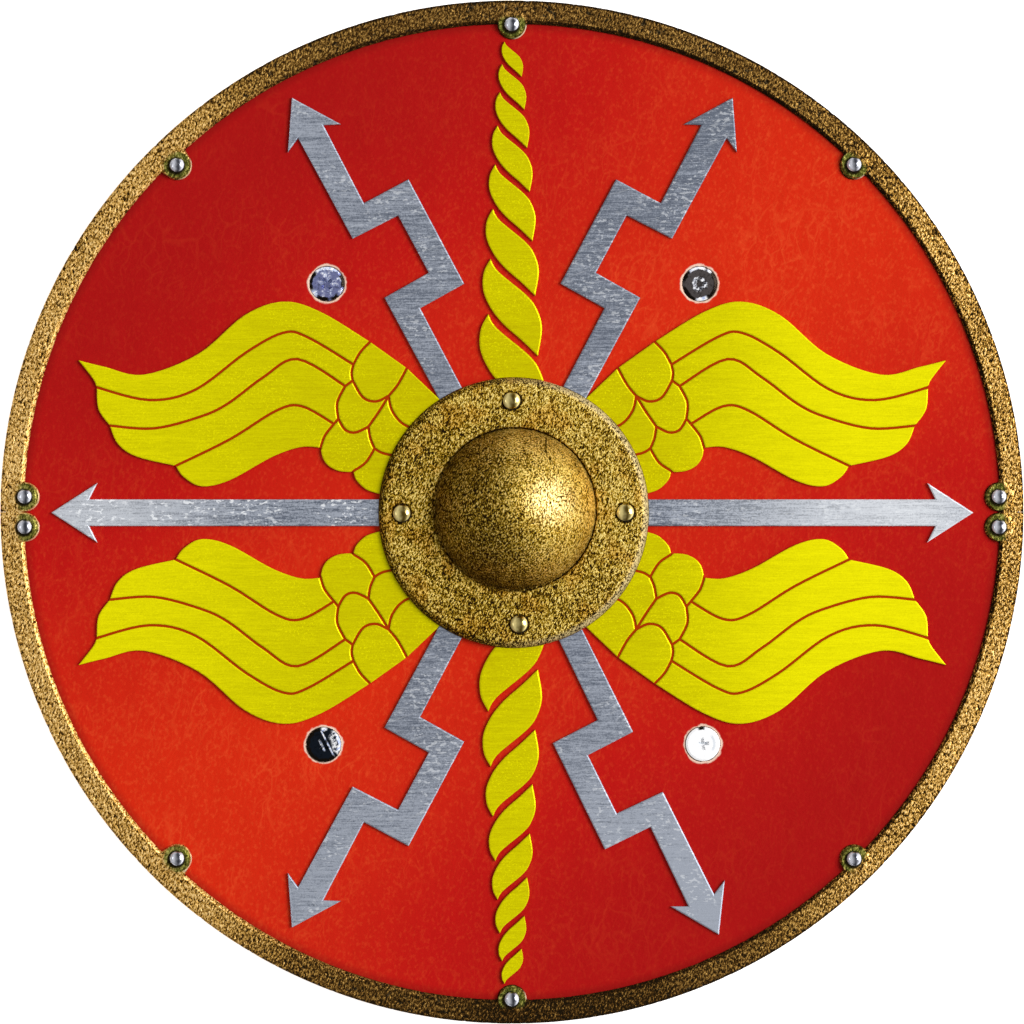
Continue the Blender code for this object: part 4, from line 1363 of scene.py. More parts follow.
def plate_mesh(cells):
    """A closed plate with bevelled cells and grooves between them."""
    made = PlateMesh()
    cells = [cell if signed_area(cell) > 0 else cell[::-1] for cell in cells]
    directed = {pair for cell in cells for pair in zip(cell, cell[1:] + cell[:1])}
    steps = ((0.0, GROOVE_FLOOR), (WALL_LEAN, PLATE_FRONT - BEVEL_DROP), (BEVEL, PLATE_FRONT))
    for cell in cells:
        pairs = list(zip(cell, cell[1:] + cell[:1]))
        shared = [(b, a) in directed for a, b in pairs]
        rings = [(cell, GROOVE_FLOOR)]
        for wall, height in steps:
            widths = [(GROOVE_HALF if inner else LEDGE) + wall for inner in shared]
            rings.append((drawn_in(cell, widths), height))
        made.face(*((point, PLATE_FOOT) for point in reversed(cell)))
        for (a, b), inner in zip(pairs, shared):
            if not inner:
                made.face((a, PLATE_FOOT), (b, PLATE_FOOT), (b, GROOVE_FLOOR), (a, GROOVE_FLOOR))
        for (low, low_z), (high, high_z) in zip(rings, rings[1:]):
            for index in range(len(cell)):
                after = (index + 1) % len(cell)
                under, over = (low[index], low_z), (high[index], high_z)
                made.face(under, (low[after], low_z), (high[after], high_z), over)
        made.face(*((point, PLATE_FRONT) for point in rings[-1][0]))
    bmesh.ops.recalc_face_normals(made.bm, faces=made.bm.faces)
    return made.bm


print("grooves are", round(2 * GROOVE_HALF / MM, 2), "mm wide")

# %% [markdown]
# The plates stop in a circle round the boss, so each is cut with one plain cylinder.

# %% Cutting round the boss
PLATE_EDGE = math.radians(14)
BOSS_GAP = 0.08 * MM
BOSS_ROOM_SIDES = 160


def add_cutter(name, bm):
    cutter = add_mesh(name, bm)
    cutter.hide_render = True
    return cutter


def cut_with(obj, *cutters, sharp=SHARP_EDGE):
    """Cuts the solids out of a piece, bakes the result and keeps the piece closed."""
    for cutter in cutters:
        modifier = obj.modifiers.new("cut", "BOOLEAN")
        modifier.operation, modifier.solver, modifier.object = "DIFFERENCE", "EXACT", cutter
    bake_modifiers(obj)
    obj.data.set_sharp_from_angle(angle=sharp)


def add_cylinder_cutter(name, places, radius, low, high, sides):
    bm = bmesh.new()
    for x, y in places:
        bmesh.ops.create_cone(
            bm, cap_ends=True, segments=sides, radius1=radius, radius2=radius, depth=high - low,
            matrix=Matrix.Translation((x, y, (low + high) / 2)),
        )
    return add_cutter(name, bm)


boss_room = add_cylinder_cutter(
    "boss_room", [BOSS_CENTRE], BOSS_RADIUS + BOSS_GAP, LEATHER_BACK, FLANGE_TOP, BOSS_ROOM_SIDES
)
print("plates end", BOSS_GAP / MM, "mm from the boss")

# %% [markdown]
# ## Lightning bolts and arrows
# Each bolt has straight edges and sharp corners, so its outline is just its corners. The other three are
# the same one mirrored, and the lower right one sits a little askew, as in the picture.

# %% Bolts and arrows
EMBLEM_CENTRE = Vector((0.0001, -0.0002))
LOWER_RIGHT_TURN = -1.9
BOLT = (
    (0.0646, 0.1216), (0.0658, 0.1056), (0.0628, 0.1098), (0.0468, 0.0803), (0.0335, 0.0871),
    (0.0245, 0.0703), (0.0375, 0.0630), (0.0200, 0.0306), (0.0134, 0.0340), (0.0270, 0.0599),
    (0.0141, 0.0671), (0.0304, 0.0977), (0.0435, 0.0907), (0.0554, 0.1136), (0.0502, 0.1138),
)
ARROW_EDGE = ((0.0350, 0.0039), (0.1240, 0.0039), (0.1216, 0.0087))
ARROW_TIP = (0.1351, 0.0)
QUARTERS = {(1, 1): "upper_right", (-1, 1): "upper_left", (-1, -1): "lower_left", (1, -1): "lower_right"}


def placed_cells(cells, mirror, turn=0.0):
    """The cells, mirrored, turned by degrees round the middle and moved to the emblem's centre."""
    spin = Matrix.Rotation(math.radians(turn), 2)
    flip = Vector(mirror)
    return [[tuple(EMBLEM_CENTRE + spin @ (Vector(point) * flip)) for point in cell] for cell in cells]


def add_plate(node, cells, material, slot, mirror=(1, 1), turn=0.0):
    obj = add_mesh(node + "_plate", plate_mesh(placed_cells(cells, mirror, turn)), material)
    cut_with(obj, boss_room, sharp=PLATE_EDGE)
    join_shield(obj, slot, node)


for mirror, side in QUARTERS.items():
    turn = LOWER_RIGHT_TURN if side == "lower_right" else 0.0
    add_plate("bolt_" + side, [BOLT], silver, "silver_plate", mirror, turn)
arrow = [*ARROW_EDGE, ARROW_TIP, *((x, -y) for x, y in reversed(ARROW_EDGE))]
add_plate("arrow_right", [arrow], silver, "silver_plate")
add_plate("arrow_left", [arrow], silver, "silver_plate", (-1, 1))

# %% [markdown]
# ## Wings
# A wing is one plate whose feathers and scales are engraved. Each line is a smooth curve through a few
# points, and every feather or scale is an outline put together from those same lines, so neighbours meet
# exactly. The lines are read the other way round where the outline runs back along them.

# %% The wing's lines
ROOT_EDGE = ((0.0200, 0.0320), (0.0309, 0.0424))
SHOULDER_EDGE = ((0.0309, 0.0424), (0.0417, 0.0501))
CREST_EDGE = (
    (0.0417, 0.0501), (0.0560, 0.0588), (0.0670, 0.0619), (0.0785, 0.0579), (0.0920, 0.0466),
    (0.1080, 0.0405), (0.1195, 0.0428), (0.1272, 0.0447),
)
FEATHER_END_1 = ((0.1272, 0.0447), (0.1229, 0.0392), (0.1218, 0.0367))
FEATHER_END_2 = ((0.1218, 0.0367), (0.1213, 0.0303), (0.1180, 0.0255))
FEATHER_END_3 = ((0.1180, 0.0255), (0.1156, 0.0201), (0.1101, 0.0164), (0.0987, 0.0137))
FEATHER_END_4 = (
    (0.0987, 0.0137), (0.0963, 0.0104), (0.0910, 0.0077), (0.0828, 0.0095), (0.0704, 0.0163),
    (0.0620, 0.0192), (0.0562, 0.0190),
)
SCALE_C_END = (
    (0.0562, 0.0190), (0.0556, 0.0161), (0.0540, 0.0138), (0.0512, 0.0123), (0.0480, 0.0119),
    (0.0466, 0.0122),
)
SCALE_E_END = ((0.0466, 0.0122), (0.0459, 0.0098), (0.0438, 0.0075), (0.0412, 0.0061), (0.0330, 0.0040))
FEATHER_LINE_1 = (
    (0.1218, 0.0367), (0.1064, 0.0330), (0.0930, 0.0360), (0.0780, 0.0470), (0.0672, 0.0527),
    (0.0602, 0.0515), (0.0466, 0.0434),
)
FEATHER_LINE_2 = (
    (0.1180, 0.0255), (0.1050, 0.0247), (0.0916, 0.0281), (0.0835, 0.0319), (0.0730, 0.0397),
    (0.0630, 0.0450), (0.0490, 0.0371),
)
FEATHER_LINE_3 = (
    (0.0987, 0.0137), (0.0828, 0.0215), (0.0692, 0.0299), (0.0618, 0.0312), (0.0523, 0.0260),
)
SCALE_A_1 = ((0.0417, 0.0501), (0.0446, 0.0470), (0.0466, 0.0434))
SCALE_A_2 = ((0.0466, 0.0434), (0.0471, 0.0410), (0.0468, 0.0387))
SCALE_A_3 = ((0.0468, 0.0387), (0.0438, 0.0338), (0.0400, 0.0326), (0.0363, 0.0342))
SCALE_A_4 = ((0.0363, 0.0342), (0.0336, 0.0375), (0.0309, 0.0424))
SCALE_B_1 = ((0.0468, 0.0387), (0.0490, 0.0371))
SCALE_B_2 = ((0.0490, 0.0371), (0.0513, 0.0323), (0.0510, 0.0275))
SCALE_B_3 = ((0.0510, 0.0275), (0.0490, 0.0243), (0.0460, 0.0235), (0.0422, 0.0252))
SCALE_B_4 = ((0.0422, 0.0252), (0.0390, 0.0298), (0.0363, 0.0342))
SCALE_C_1 = ((0.0510, 0.0275), (0.0523, 0.0260))
SCALE_C_2 = ((0.0523, 0.0260), (0.0550, 0.0225), (0.0562, 0.0190))
SCALE_C_3 = ((0.0466, 0.0122), (0.0430, 0.0147), (0.0404, 0.0188))
SCALE_D_1 = ((0.0363, 0.0342), (0.0352, 0.0298), (0.0317, 0.0258), (0.0250, 0.0235))
SCALE_E_1 = ((0.0422, 0.0252), (0.0416, 0.0217), (0.0404, 0.0188))
SCALE_E_2 = ((0.0404, 0.0188), (0.0375, 0.0173), (0.0300, 0.0160))
print("the crest is drawn through", len(CREST_EDGE), "points")

# %% The wing's feathers and scales
CURVE_STEPS = 6


def outline(*lines):
    """One closed outline from lines that each start where the last one ended."""
    points = []
    for line in lines:
        line, backwards = line if isinstance(line[1], bool) else (line, False)
        curve = smooth(line, CURVE_STEPS) if len(line) > 2 else list(line)
        points += (curve[::-1] if backwards else curve)[:-1]
    return points


def back(line):
    """Marks a line as one that an outline follows backwards."""
    return (line, True)


def wing_cells():
    d_to_root = (SCALE_D_1[-1], ROOT_EDGE[0])
    e_to_d = (SCALE_E_2[-1], SCALE_D_1[-1])
    end_to_e = (SCALE_E_END[-1], SCALE_E_2[-1])
    return [
        outline(CREST_EDGE, FEATHER_END_1, FEATHER_LINE_1, back(SCALE_A_1)),
        outline(back(FEATHER_LINE_1), FEATHER_END_2, FEATHER_LINE_2, back(SCALE_B_1), back(SCALE_A_2)),
        outline(back(FEATHER_LINE_2), FEATHER_END_3, FEATHER_LINE_3, back(SCALE_C_1), back(SCALE_B_2)),
        outline(back(FEATHER_LINE_3), FEATHER_END_4, back(SCALE_C_2)),
        outline(SHOULDER_EDGE, SCALE_A_1, SCALE_A_2, SCALE_A_3, SCALE_A_4),
        outline(SCALE_B_1, SCALE_B_2, SCALE_B_3, SCALE_B_4, back(SCALE_A_3)),
        outline(SCALE_C_1, SCALE_C_2, SCALE_C_END, SCALE_C_3, back(SCALE_E_1), back(SCALE_B_3)),
        outline(ROOT_EDGE, back(SCALE_A_4), SCALE_D_1, d_to_root),
        outline(back(SCALE_D_1), back(SCALE_B_4), SCALE_E_1, SCALE_E_2, e_to_d),
        outline(back(SCALE_E_2), back(SCALE_C_3), SCALE_E_END, end_to_e),
    ]


cells = wing_cells()
for mirror, side in QUARTERS.items():
    add_plate("wing_" + side, cells, lemon, "yellow_plate", mirror)

# %% [markdown]
# ## The twisted spindle
# Eight leaves, one above the other, read as a twisted cord that thickens towards the boss. They are one
# leaf at eight sizes, and both the sizes and the steps between them follow a rule. Geometry Nodes set
# them out: a line of points gives each leaf its number, the number gives its place and its width, and the
# lower half is the same with its Side set to -1.

# %% The leaf and the spindle tree
LEAF_RIGHT = ((-0.72, 0.0), (-0.46, -0.43), (0.48, -1.22), (0.83, -1.70), (0.99, -2.34), (0.85, -3.24))
LEAF_LEFT = (
    (0.85, -3.24), (0.31, -2.72), (-0.29, -2.19), (-0.72, -1.65), (-0.97, -1.05), (-0.95, -0.46),
    (-0.72, 0.0),
)
LEAF_COUNT = 8
LEAF_MODEL_WIDTH = 7.0 * MM


def spindle_tree(leaf, material):
    graph, _, size = new_tree(
        "spindle", Leaf_Count=LEAF_COUNT, First_Tip=0.1381, First_Width=0.0032, Widening=0.00094,
        First_Pitch=0.0066, Pitch_Growth=0.0016, Side=1.0,
    )
    points = graph.add("GeometryNodeMeshLine", {}, {"Count": size["Leaf_Count"]})
    number = graph.add("GeometryNodeInputIndex")
    drop = number * size["First_Pitch"] + number * (number - 1) * 0.5 * size["Pitch_Growth"]
    tip = (size["First_Tip"] - drop) * size["Side"]
    place = graph.add("ShaderNodeCombineXYZ", {}, {"Y": tip})
    points = graph.add("GeometryNodeSetPosition", {}, {"Geometry": points, "Position": place})
    width = (number * size["Widening"] + size["First_Width"]) / LEAF_MODEL_WIDTH
    scale = graph.add("ShaderNodeCombineXYZ", {}, {"X": width, "Y": width * size["Side"], "Z": 1.0})
    shape = graph.add("GeometryNodeObjectInfo", {}, {"Object": leaf}, out="Geometry")
    leaves = graph.add(
        "GeometryNodeInstanceOnPoints", {}, {"Points": points, "Instance": shape, "Scale": scale}
    )
    at_emblem = graph.add(
        "GeometryNodeTransform", {}, {"Geometry": leaves, "Translation": (*EMBLEM_CENTRE, 0.0)}
    )
    close_tree(graph, at_emblem, material)
    return graph


leaf_outline = smooth(LEAF_RIGHT, CURVE_STEPS)[:-1] + smooth(LEAF_LEFT, CURVE_STEPS)[:-1]
leaf_cell = [(x * LEAF_MODEL_WIDTH, y * LEAF_MODEL_WIDTH) for x, y in leaf_outline]
leaf = add_cutter("leaf_model", plate_mesh([leaf_cell]))
spindle = spindle_tree(leaf, lemon)
for side, name in ((1.0, "upper"), (-1.0, "lower")):
    leaves = run_tree(add_points("spindle_leaves_" + name, []), spindle, Side=side)
    cut_with(leaves, boss_room, sharp=PLATE_EDGE)
    join_shield(leaves, "yellow_plate", *numbered("spindle_" + name, LEAF_COUNT))

# %% [markdown]
# ## Screws, nuts and threads
# Four countersunk screws hold the arm straps. A head is flat on top, with a narrow chamfer, and a cross
# recess whose arms taper as they go down. The thread shows past the nut: a helix needs no sweep here,
# because a turned surface becomes one when its radius depends on height and turn together. One screw is
# modelled on the origin.

# %% The screw's model
SCREW_LOW, SCREW_TOP = heights("screw_1")
NUT_LOW, NUT_TOP = heights("nut_1")
HEAD_RADIUS = 5.0 * MM
SHANK_RADIUS = 2.4 * MM
BORE_RADIUS = SHANK_RADIUS + 0.3 * MM
HEAD_CHAMFER = 0.6 * MM
CHAMFER_DROP = 0.18 * MM
HEAD_EDGE = 0.4 * MM
THREAD_PITCH = 0.8 * MM
THREAD_DEPTH = 0.35 * MM
THREAD_STEPS = 16
SCREW_POINTS = 48
RECESS_LENGTHS = (4.6 * MM, 2.2 * MM)
RECESS_WIDTHS = (1.15 * MM, 0.7 * MM)
RECESS_DEPTH = 1.6 * MM


def screw_rows():
    """(radius, height, thread share) down the screw."""
    cone_foot = SCREW_TOP - HEAD_EDGE - (HEAD_RADIUS - SHANK_RADIUS)
    rows = [(HEAD_RADIUS - HEAD_CHAMFER, SCREW_TOP, 0.0), (HEAD_RADIUS, SCREW_TOP - CHAMFER_DROP, 0.0)]
    rows += [(HEAD_RADIUS, SCREW_TOP - HEAD_EDGE, 0.0), (SHANK_RADIUS, cone_foot, 0.0)]
    start, end = NUT_LOW + MM, SCREW_LOW + 0.15 * MM
    rows.append((SHANK_RADIUS, start, 0.0))
    for step in range(1, THREAD_STEPS + 1):
        rows.append((SHANK_RADIUS, start + (end - start) * step / THREAD_STEPS, 1.0))
    rows.append((SHANK_RADIUS - 0.4 * MM, SCREW_LOW, 0.0))
    return rows


def turned_ring(bm, count, height, radius_at):
    """A ring round the origin whose radius may change with the turn."""
    ring = []
    for step in range(count):
        turn = math.tau * step / count
        radius = radius_at(turn)
        ring.append(bm.verts.new((radius * math.cos(turn), radius * math.sin(turn), height)))
    return ring


def make_screw_model():
    bm = bmesh.new()
    rings = []
    for radius, height, threaded in screw_rows():

        def radius_at(turn):
            phase = (height / THREAD_PITCH + turn / math.tau) % 1.0
            return radius - threaded * THREAD_DEPTH * abs(2 * phase - 1)

        rings.append(turned_ring(bm, SCREW_POINTS, height, radius_at))
    join_rings(bm, rings)
    screw = add_cutter("screw_model", bm)
    arms = []
    for quarter in (0, 90):
        arm = bmesh.new()
        bmesh.ops.create_cube(arm, size=1.0)
        for vert in arm.verts:
            deep = vert.co.z < 0
            vert.co.x *= RECESS_LENGTHS[deep]
            vert.co.y *= RECESS_WIDTHS[deep]
            vert.co.z = SCREW_TOP - RECESS_DEPTH if deep else SCREW_TOP + MM
        bmesh.ops.rotate(arm, matrix=Matrix.Rotation(math.radians(quarter), 3, "Z"), verts=arm.verts)
        arms.append(add_cutter(f"recess_{quarter}", arm))
    cut_with(screw, *arms, sharp=PLATE_EDGE)
    return screw


screw_model = make_screw_model()
print("screw model", len(screw_model.data.polygons), "faces")

# %% [markdown]
# A screw is driven until it holds, so each cross ends up at its own angle. Geometry Nodes set the copies:
# every point carries a turn, and it leaves its own place behind as the copy's axis, so that the material
# can tell how far from the middle of its head a point is.

# %% Copies on points
def copies_tree(name, model, material):
    graph, points, _ = new_tree(name)
    turn = graph.add("GeometryNodeInputNamedAttribute", {"data_type": "FLOAT"}, {"Name": "turn"})
    sockets = {"Geometry": points, "Name": "axis", "Value": graph.add("GeometryNodeInputPosition")}
    points = graph.add("GeometryNodeStoreNamedAttribute", {"data_type": "FLOAT_VECTOR"}, sockets)
    shape = graph.add("GeometryNodeObjectInfo", {}, {"Object": model}, out="Geometry")
    rotation = graph.add("ShaderNodeCombineXYZ", {}, {"Z": turn})
    sockets = {"Points": points, "Instance": shape, "Rotation": rotation}
    close_tree(graph, graph.add("GeometryNodeInstanceOnPoints", {}, sockets), material)
    return graph


def set_copies(node, model, material, sharp, turns=(0.0, 0.0, 0.0, 0.0)):
    """A model at every screw's place, each with its own turn in degrees."""
    name = f"steel_{node}s"
    copies = add_points(name, [(x, y, 0.0) for x, y in SCREWS])
    layer = copies.data.attributes.new("turn", "FLOAT", "POINT")
    layer.data.foreach_set("value", [math.radians(turn) for turn in turns])
    run_tree(copies, copies_tree(name, model, material))
    copies.data.set_sharp_from_angle(angle=sharp)
    join_shield(copies, node + "_steel", *numbered(node, len(SCREWS)))


print("copies can be set at", len(SCREWS), "screws")

# %% [markdown]
# Plated steel mirrors whatever stands round it, so every head looks different: one is full of bluish
# glints, one dark with glints round its cross, one almost black with streaks, and one blown out white by
# the window. These reflections are painted: the material gives each quarter of the shield its own tones,
# and the chamfer dark and bright arcs in the directions where dark and bright things stood.

# %% What the screw heads mirror
WHITE = rgb(254, 254, 255)
GLINT_BLUE = rgb(176, 190, 226)
# For each quarter of the shield: the head's colour, its duller glints, and the dark and the bright arcs
# of its chamfer, as directions and half openings in degrees. All of these are painted reflections.
HEADS = {
    (1, 1): (
        rgb(100, 93, 92), GLINT_BLUE,
        ((6, 40), (150, 20), (222, 32), (322, 20)), ((50, 8), (100, 30), (278, 20)),
    ),
    (-1, 1): (
        rgb(140, 146, 196), GLINT_BLUE,
        ((168, 34), (10, 24), (255, 22), (300, 14)), ((92, 40), (216, 12)),
    ),
    (-1, -1): (
        rgb(20, 28, 40), GLINT_BLUE, ((180, 70), (265, 50), (120, 20)), ((8, 30), (90, 10)),
    ),
    (1, -1): (rgb(250, 251, 254), WHITE, ((96, 9),), ()),
}


class HeadSteel(Finish):
    """Steel that knows where it lies on its own screw's head, in millimetres."""

    def __init__(self, name):
        super().__init__(name)
        axis = self.attribute("axis", out="Vector")
        place = self.add("ShaderNodeVectorMath", {"operation": "SUBTRACT"}, {0: self.point, 1: axis})
        self.across, self.along = self.axis(place, "X") / MM, self.axis(place, "Y") / MM
        self.out = distance(self.across, self.along)

    def sector(self, degrees, half):
        """1 within half an opening of a direction, seen from the head's middle."""
        turn = math.radians(degrees)
        towards = (self.across * math.cos(turn) + self.along * math.sin(turn)) / self.out
        return self.ramp(towards, math.cos(math.radians(half + 6)), math.cos(math.radians(half - 6)))

    def streak(self, offset, half):
        """1 on a line that runs down to the right, so many millimetres from the middle."""
        return self.ramp(abs(self.across * 0.89 + self.along * 0.45 - offset), half, half * 0.4)

    def arcs(self, sectors, wobble):
        share = self.out * 0.0
        for degrees, half in sectors:
            share = share.over(self.sector(degrees, half))
        return share * self.ramp(self.out + wobble, 4.0, 4.3)


print(len(HEADS), "heads mirror different things")

# %% The screws
RECESS_TURNS = (14.0, 38.0, 52.0, 8.0)
SHANK_STEEL = rgb(150, 152, 156)
FAINT_BLUE = rgb(150, 170, 190)


def make_screw_steel():
    f = HeadSteel("plated screw steel")
    facets = f.noise((1000.0, 1400.0, 900.0), detail=3.0, rough=0.7, turn=(0.0, 0.0, 0.6))
    wobble = (f.noise(700.0, detail=2.0) - 0.5) * 1.6
    heart = f.ramp(abs(f.out - 1.5 + wobble), 0.9, 0.3) * f.ramp(facets, 0.42, 0.52)
    busy = f.ramp(f.noise(520.0, detail=3.0, rough=0.65), 0.47, 0.68) * 0.9
    window = f.sector(12, 46) * f.ramp(f.out, 1.9, 3.0) * f.ramp(facets, 0.38, 0.64)
    streaks = f.streak(1.15, 0.34).over(f.streak(-0.6, 0.42) * f.ramp(f.out, 2.2, 1.4))
    glints = {
        (1, 1): heart * 0.9, (-1, 1): busy, (-1, -1): streaks.over(window) * 0.9, (1, -1): 1.0
    }
    colour, shine = None, 0.0
    for quarter, (face, dull_glint, dark_arcs, bright_arcs) in HEADS.items():
        here = f.ramp(f.x * quarter[0], -MM, MM) * f.ramp(f.y * quarter[1], -MM, MM)
        dark, bright = f.arcs(dark_arcs, wobble), f.arcs(bright_arcs, wobble).over(glints[quarter])
        head = f.mix(f.ramp(facets, 0.50, 0.34) * 0.7, face, tuple(value * 0.3 for value in face))
        head = f.mix(bright, head, f.mix(f.ramp(facets, 0.42, 0.56), dull_glint, WHITE))
        head = f.mix(dark, head, PIT_AND_SHADE_BLACK)
        colour = f.mix(here, colour, head) if colour else head
        shine = here * bright * (1 - dark) + shine
    # Painted reflections: a faint bluish bar and arc on the white head.
    bar = f.ramp(abs(f.along - 0.2), 0.5, 0.2) * f.ramp(abs(f.across), 1.6, 1.0)
    ring = f.ramp(abs(f.out - 3.3), 0.5, 0.2) * f.sector(5, 40)
    faint = bar.over(ring) * f.ramp(f.x, 0.0, MM) * f.ramp(f.y, 0.0, -MM)
    colour = f.mix(faint * 0.35, colour, FAINT_BLUE)
    below = f.ramp(f.z, SCREW_TOP - 2.0 * MM, SCREW_TOP - 3.0 * MM)
    colour = f.mix(below, colour, SHANK_STEEL)
    shine = shine * (1 - below)
    return f.finished(
        height=facets * 0.10 * MM, Base_Color=colour, Metallic=0.85 - shine * 0.75,
        Roughness=0.22 + shine * 0.2,
    )


set_copies("screw", screw_model, make_screw_steel(), PLATE_EDGE, RECESS_TURNS)

# %% [markdown]
# A flange nut is a hexagon on a round foot, and its corners are chamfered. Both rules give a radius for
# each direction and height: the hexagon's flat, or the chamfer's cone where that lies further in.

# %% The nuts
NUT_RADIUS = 4.6 * MM
NUT_FLANGE_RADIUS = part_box("nut_1")[1].x - SCREWS[0][0]
NUT_FLANGE = MM
NUT_POINTS = 72
NUT_CHAMFER_DEPTHS = (0.5 * MM, 0.35 * MM, 0.2 * MM, 0.1 * MM, 0.0)
NUT_BRIGHT = rgb(190, 192, 194)
NUT_DULL = rgb(122, 120, 112)
NUT_CORNER = math.radians(30)
NUT_TOP_SHARE = 0.97
NUT_CHAMFER_SLOPE = 1.7
NUT_LEAD_IN = 0.4 * MM


def nut_radius(turn, depth):
    """The hexagon's radius in a direction, no further out than the chamfer at that depth."""
    flat = NUT_RADIUS * math.cos(NUT_CORNER)
    hexagon = flat / math.cos((turn + NUT_CORNER) % (2 * NUT_CORNER) - NUT_CORNER)
    return min(hexagon, flat * NUT_TOP_SHARE + depth * NUT_CHAMFER_SLOPE)


def make_nut_model():
    bm = bmesh.new()
    flange, wide = NUT_TOP - NUT_FLANGE, NUT_FLANGE_RADIUS
    rows = [(BORE_RADIUS, NUT_TOP), (wide - 0.15 * MM, NUT_TOP), (wide, NUT_TOP - 0.15 * MM)]
    rows += [(wide, flange + 0.3 * MM), (wide - 0.4 * MM, flange + 0.1 * MM), (None, flange)]
    rows += [(None, NUT_LOW + depth) for depth in NUT_CHAMFER_DEPTHS]
    rows += [(BORE_RADIUS + NUT_LEAD_IN, NUT_LOW), (BORE_RADIUS, NUT_LOW + NUT_LEAD_IN)]
    rings = []
    for radius, height in rows:

        def radius_at(turn):
            return radius or nut_radius(turn, height - NUT_LOW)

        rings.append(turned_ring(bm, NUT_POINTS, height, radius_at))
    join_rings(bm, rings + rings[:1], capped=False)
    return add_cutter("nut_model", bm)


def make_nut_steel():
    f = Finish("plain nut steel")
    cloud = f.noise(420.0, detail=3.0)
    colour = f.mix(f.ramp(cloud, 0.45, 0.75) * 0.6, NUT_BRIGHT, NUT_DULL)
    scratches = f.noise((300.0, 2400.0, 300.0), detail=2.0) * 0.02 * MM
    return f.finished(height=scratches, Base_Color=colour, Metallic=1.0, Roughness=0.28 + cloud * 0.1)


set_copies("nut", make_nut_model(), make_nut_steel(), SHARP_EDGE)

# %% [markdown]
# ## Arm straps
# Behind the board two straps of thick brown leather bend away between the screws, far enough for a hand.
# A strap is one rounded section, moved along its bent middle line and narrowed at its round ends. Its
# edges are darker where wax and hands have polished them.

# %% The straps' leather
WAXED_BROWN = rgb(128, 78, 40)
DARK_BROWN = rgb(92, 52, 26)
PORE_BROWN = rgb(36, 18, 8)
WORN_BROWN = rgb(44, 22, 10)


def make_brown_leather():
    f = Finish("waxed brown leather")
    grain = f.cells(900.0)
    cloud = f.noise(60.0, detail=4.0)
    colour = f.mix(f.ramp(cloud, 0.35, 0.7), WAXED_BROWN, DARK_BROWN)
    colour = f.mix(f.ramp(grain, 0.30, 0.10) * 0.4, colour, PORE_BROWN)
    edge = f.attribute("edge")
    colour = f.mix(edge * 0.75, colour, WORN_BROWN)
    height = grain * 0.05 * MM + f.noise(300.0, detail=3.0) * 0.08 * MM
    return f.finished(
        height=height, Base_Color=colour, Roughness=0.62 - edge * 0.22, Specular_IOR_Level=0.35
    )


brown_leather = make_brown_leather()
print(brown_leather.name)

# %% The strap's line and section
STRAP_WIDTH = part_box("strap_left")[1].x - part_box("strap_left")[0].x
STRAP_LOW, STRAP_TOP = heights("strap_left")
STRAP_THICKNESS = 3.0 * MM
STRAP_FLAT = 24.0 * MM
STRAP_BEND = 56.0 * MM
STRAP_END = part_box("strap_left")[1].y
STRAP_CORNER = 8.0 * MM
STRAP_EDGE = 0.7 * MM
STITCH_INSET = 2.6 * MM
THREAD_GROOVE_DEPTH = 0.45 * MM
THREAD_GROOVE_HALF = 0.55 * MM
SLOPE_STEP = 0.1 * MM


def strap_height(y):
    """The height of the strap's middle line: flat under the hand, bent, then flat on the board."""
    share = min(max((abs(y) - STRAP_FLAT) / (STRAP_BEND - STRAP_FLAT), 0.0), 1.0)
    drop = STRAP_TOP - STRAP_LOW - STRAP_THICKNESS
    return STRAP_TOP - STRAP_THICKNESS / 2 - drop * (1 + math.cos(math.pi * share)) / 2


def strap_out(y):
    """The (y, z) direction square to the strap's middle line."""
    rise = strap_height(y + SLOPE_STEP) - strap_height(y - SLOPE_STEP)
    return Vector((-rise, 2 * SLOPE_STEP)).normalized()


def strap_half_width(y):
    into_corner = max(abs(y) - (STRAP_END - STRAP_CORNER), 0.0)
    round_off = STRAP_CORNER - math.sqrt(max(STRAP_CORNER**2 - into_corner**2, 0.0))
    return STRAP_WIDTH / 2 - round_off


def strap_section(half_width):
    """(across, out) points of the rounded section, with a groove for the thread near each edge."""
    x, z = half_width - STRAP_EDGE, STRAP_THICKNESS / 2 - STRAP_EDGE
    thread = half_width - STITCH_INSET
    near_edge = [(thread + THREAD_GROOVE_HALF, 0.0), (thread, THREAD_GROOVE_DEPTH)]
    near_edge.append((thread - THREAD_GROOVE_HALF, 0.0))
    face = near_edge + [(0.0, 0.0)] + [(-across, deep) for across, deep in reversed(near_edge)]
    points = []
    for corner, start in (((x, z), 0), ((-x, z), 90), ((-x, -z), 180), ((x, -z), 270)):
        points += arc(corner, STRAP_EDGE, start, start + 90, 3)
        if start in (0, 180):
            side = 1 if start == 0 else -1
            points += [(across * side, (STRAP_THICKNESS / 2 - deep) * side) for across, deep in face]
    return points


print("a strap is", round(STRAP_WIDTH / MM, 1), "mm wide and", STRAP_THICKNESS / MM, "mm thick")

# %% The straps' mesh
STRAP_STEPS = 150
WAXED_EDGE = 1.6 * MM
HOLE_SIDES = 24


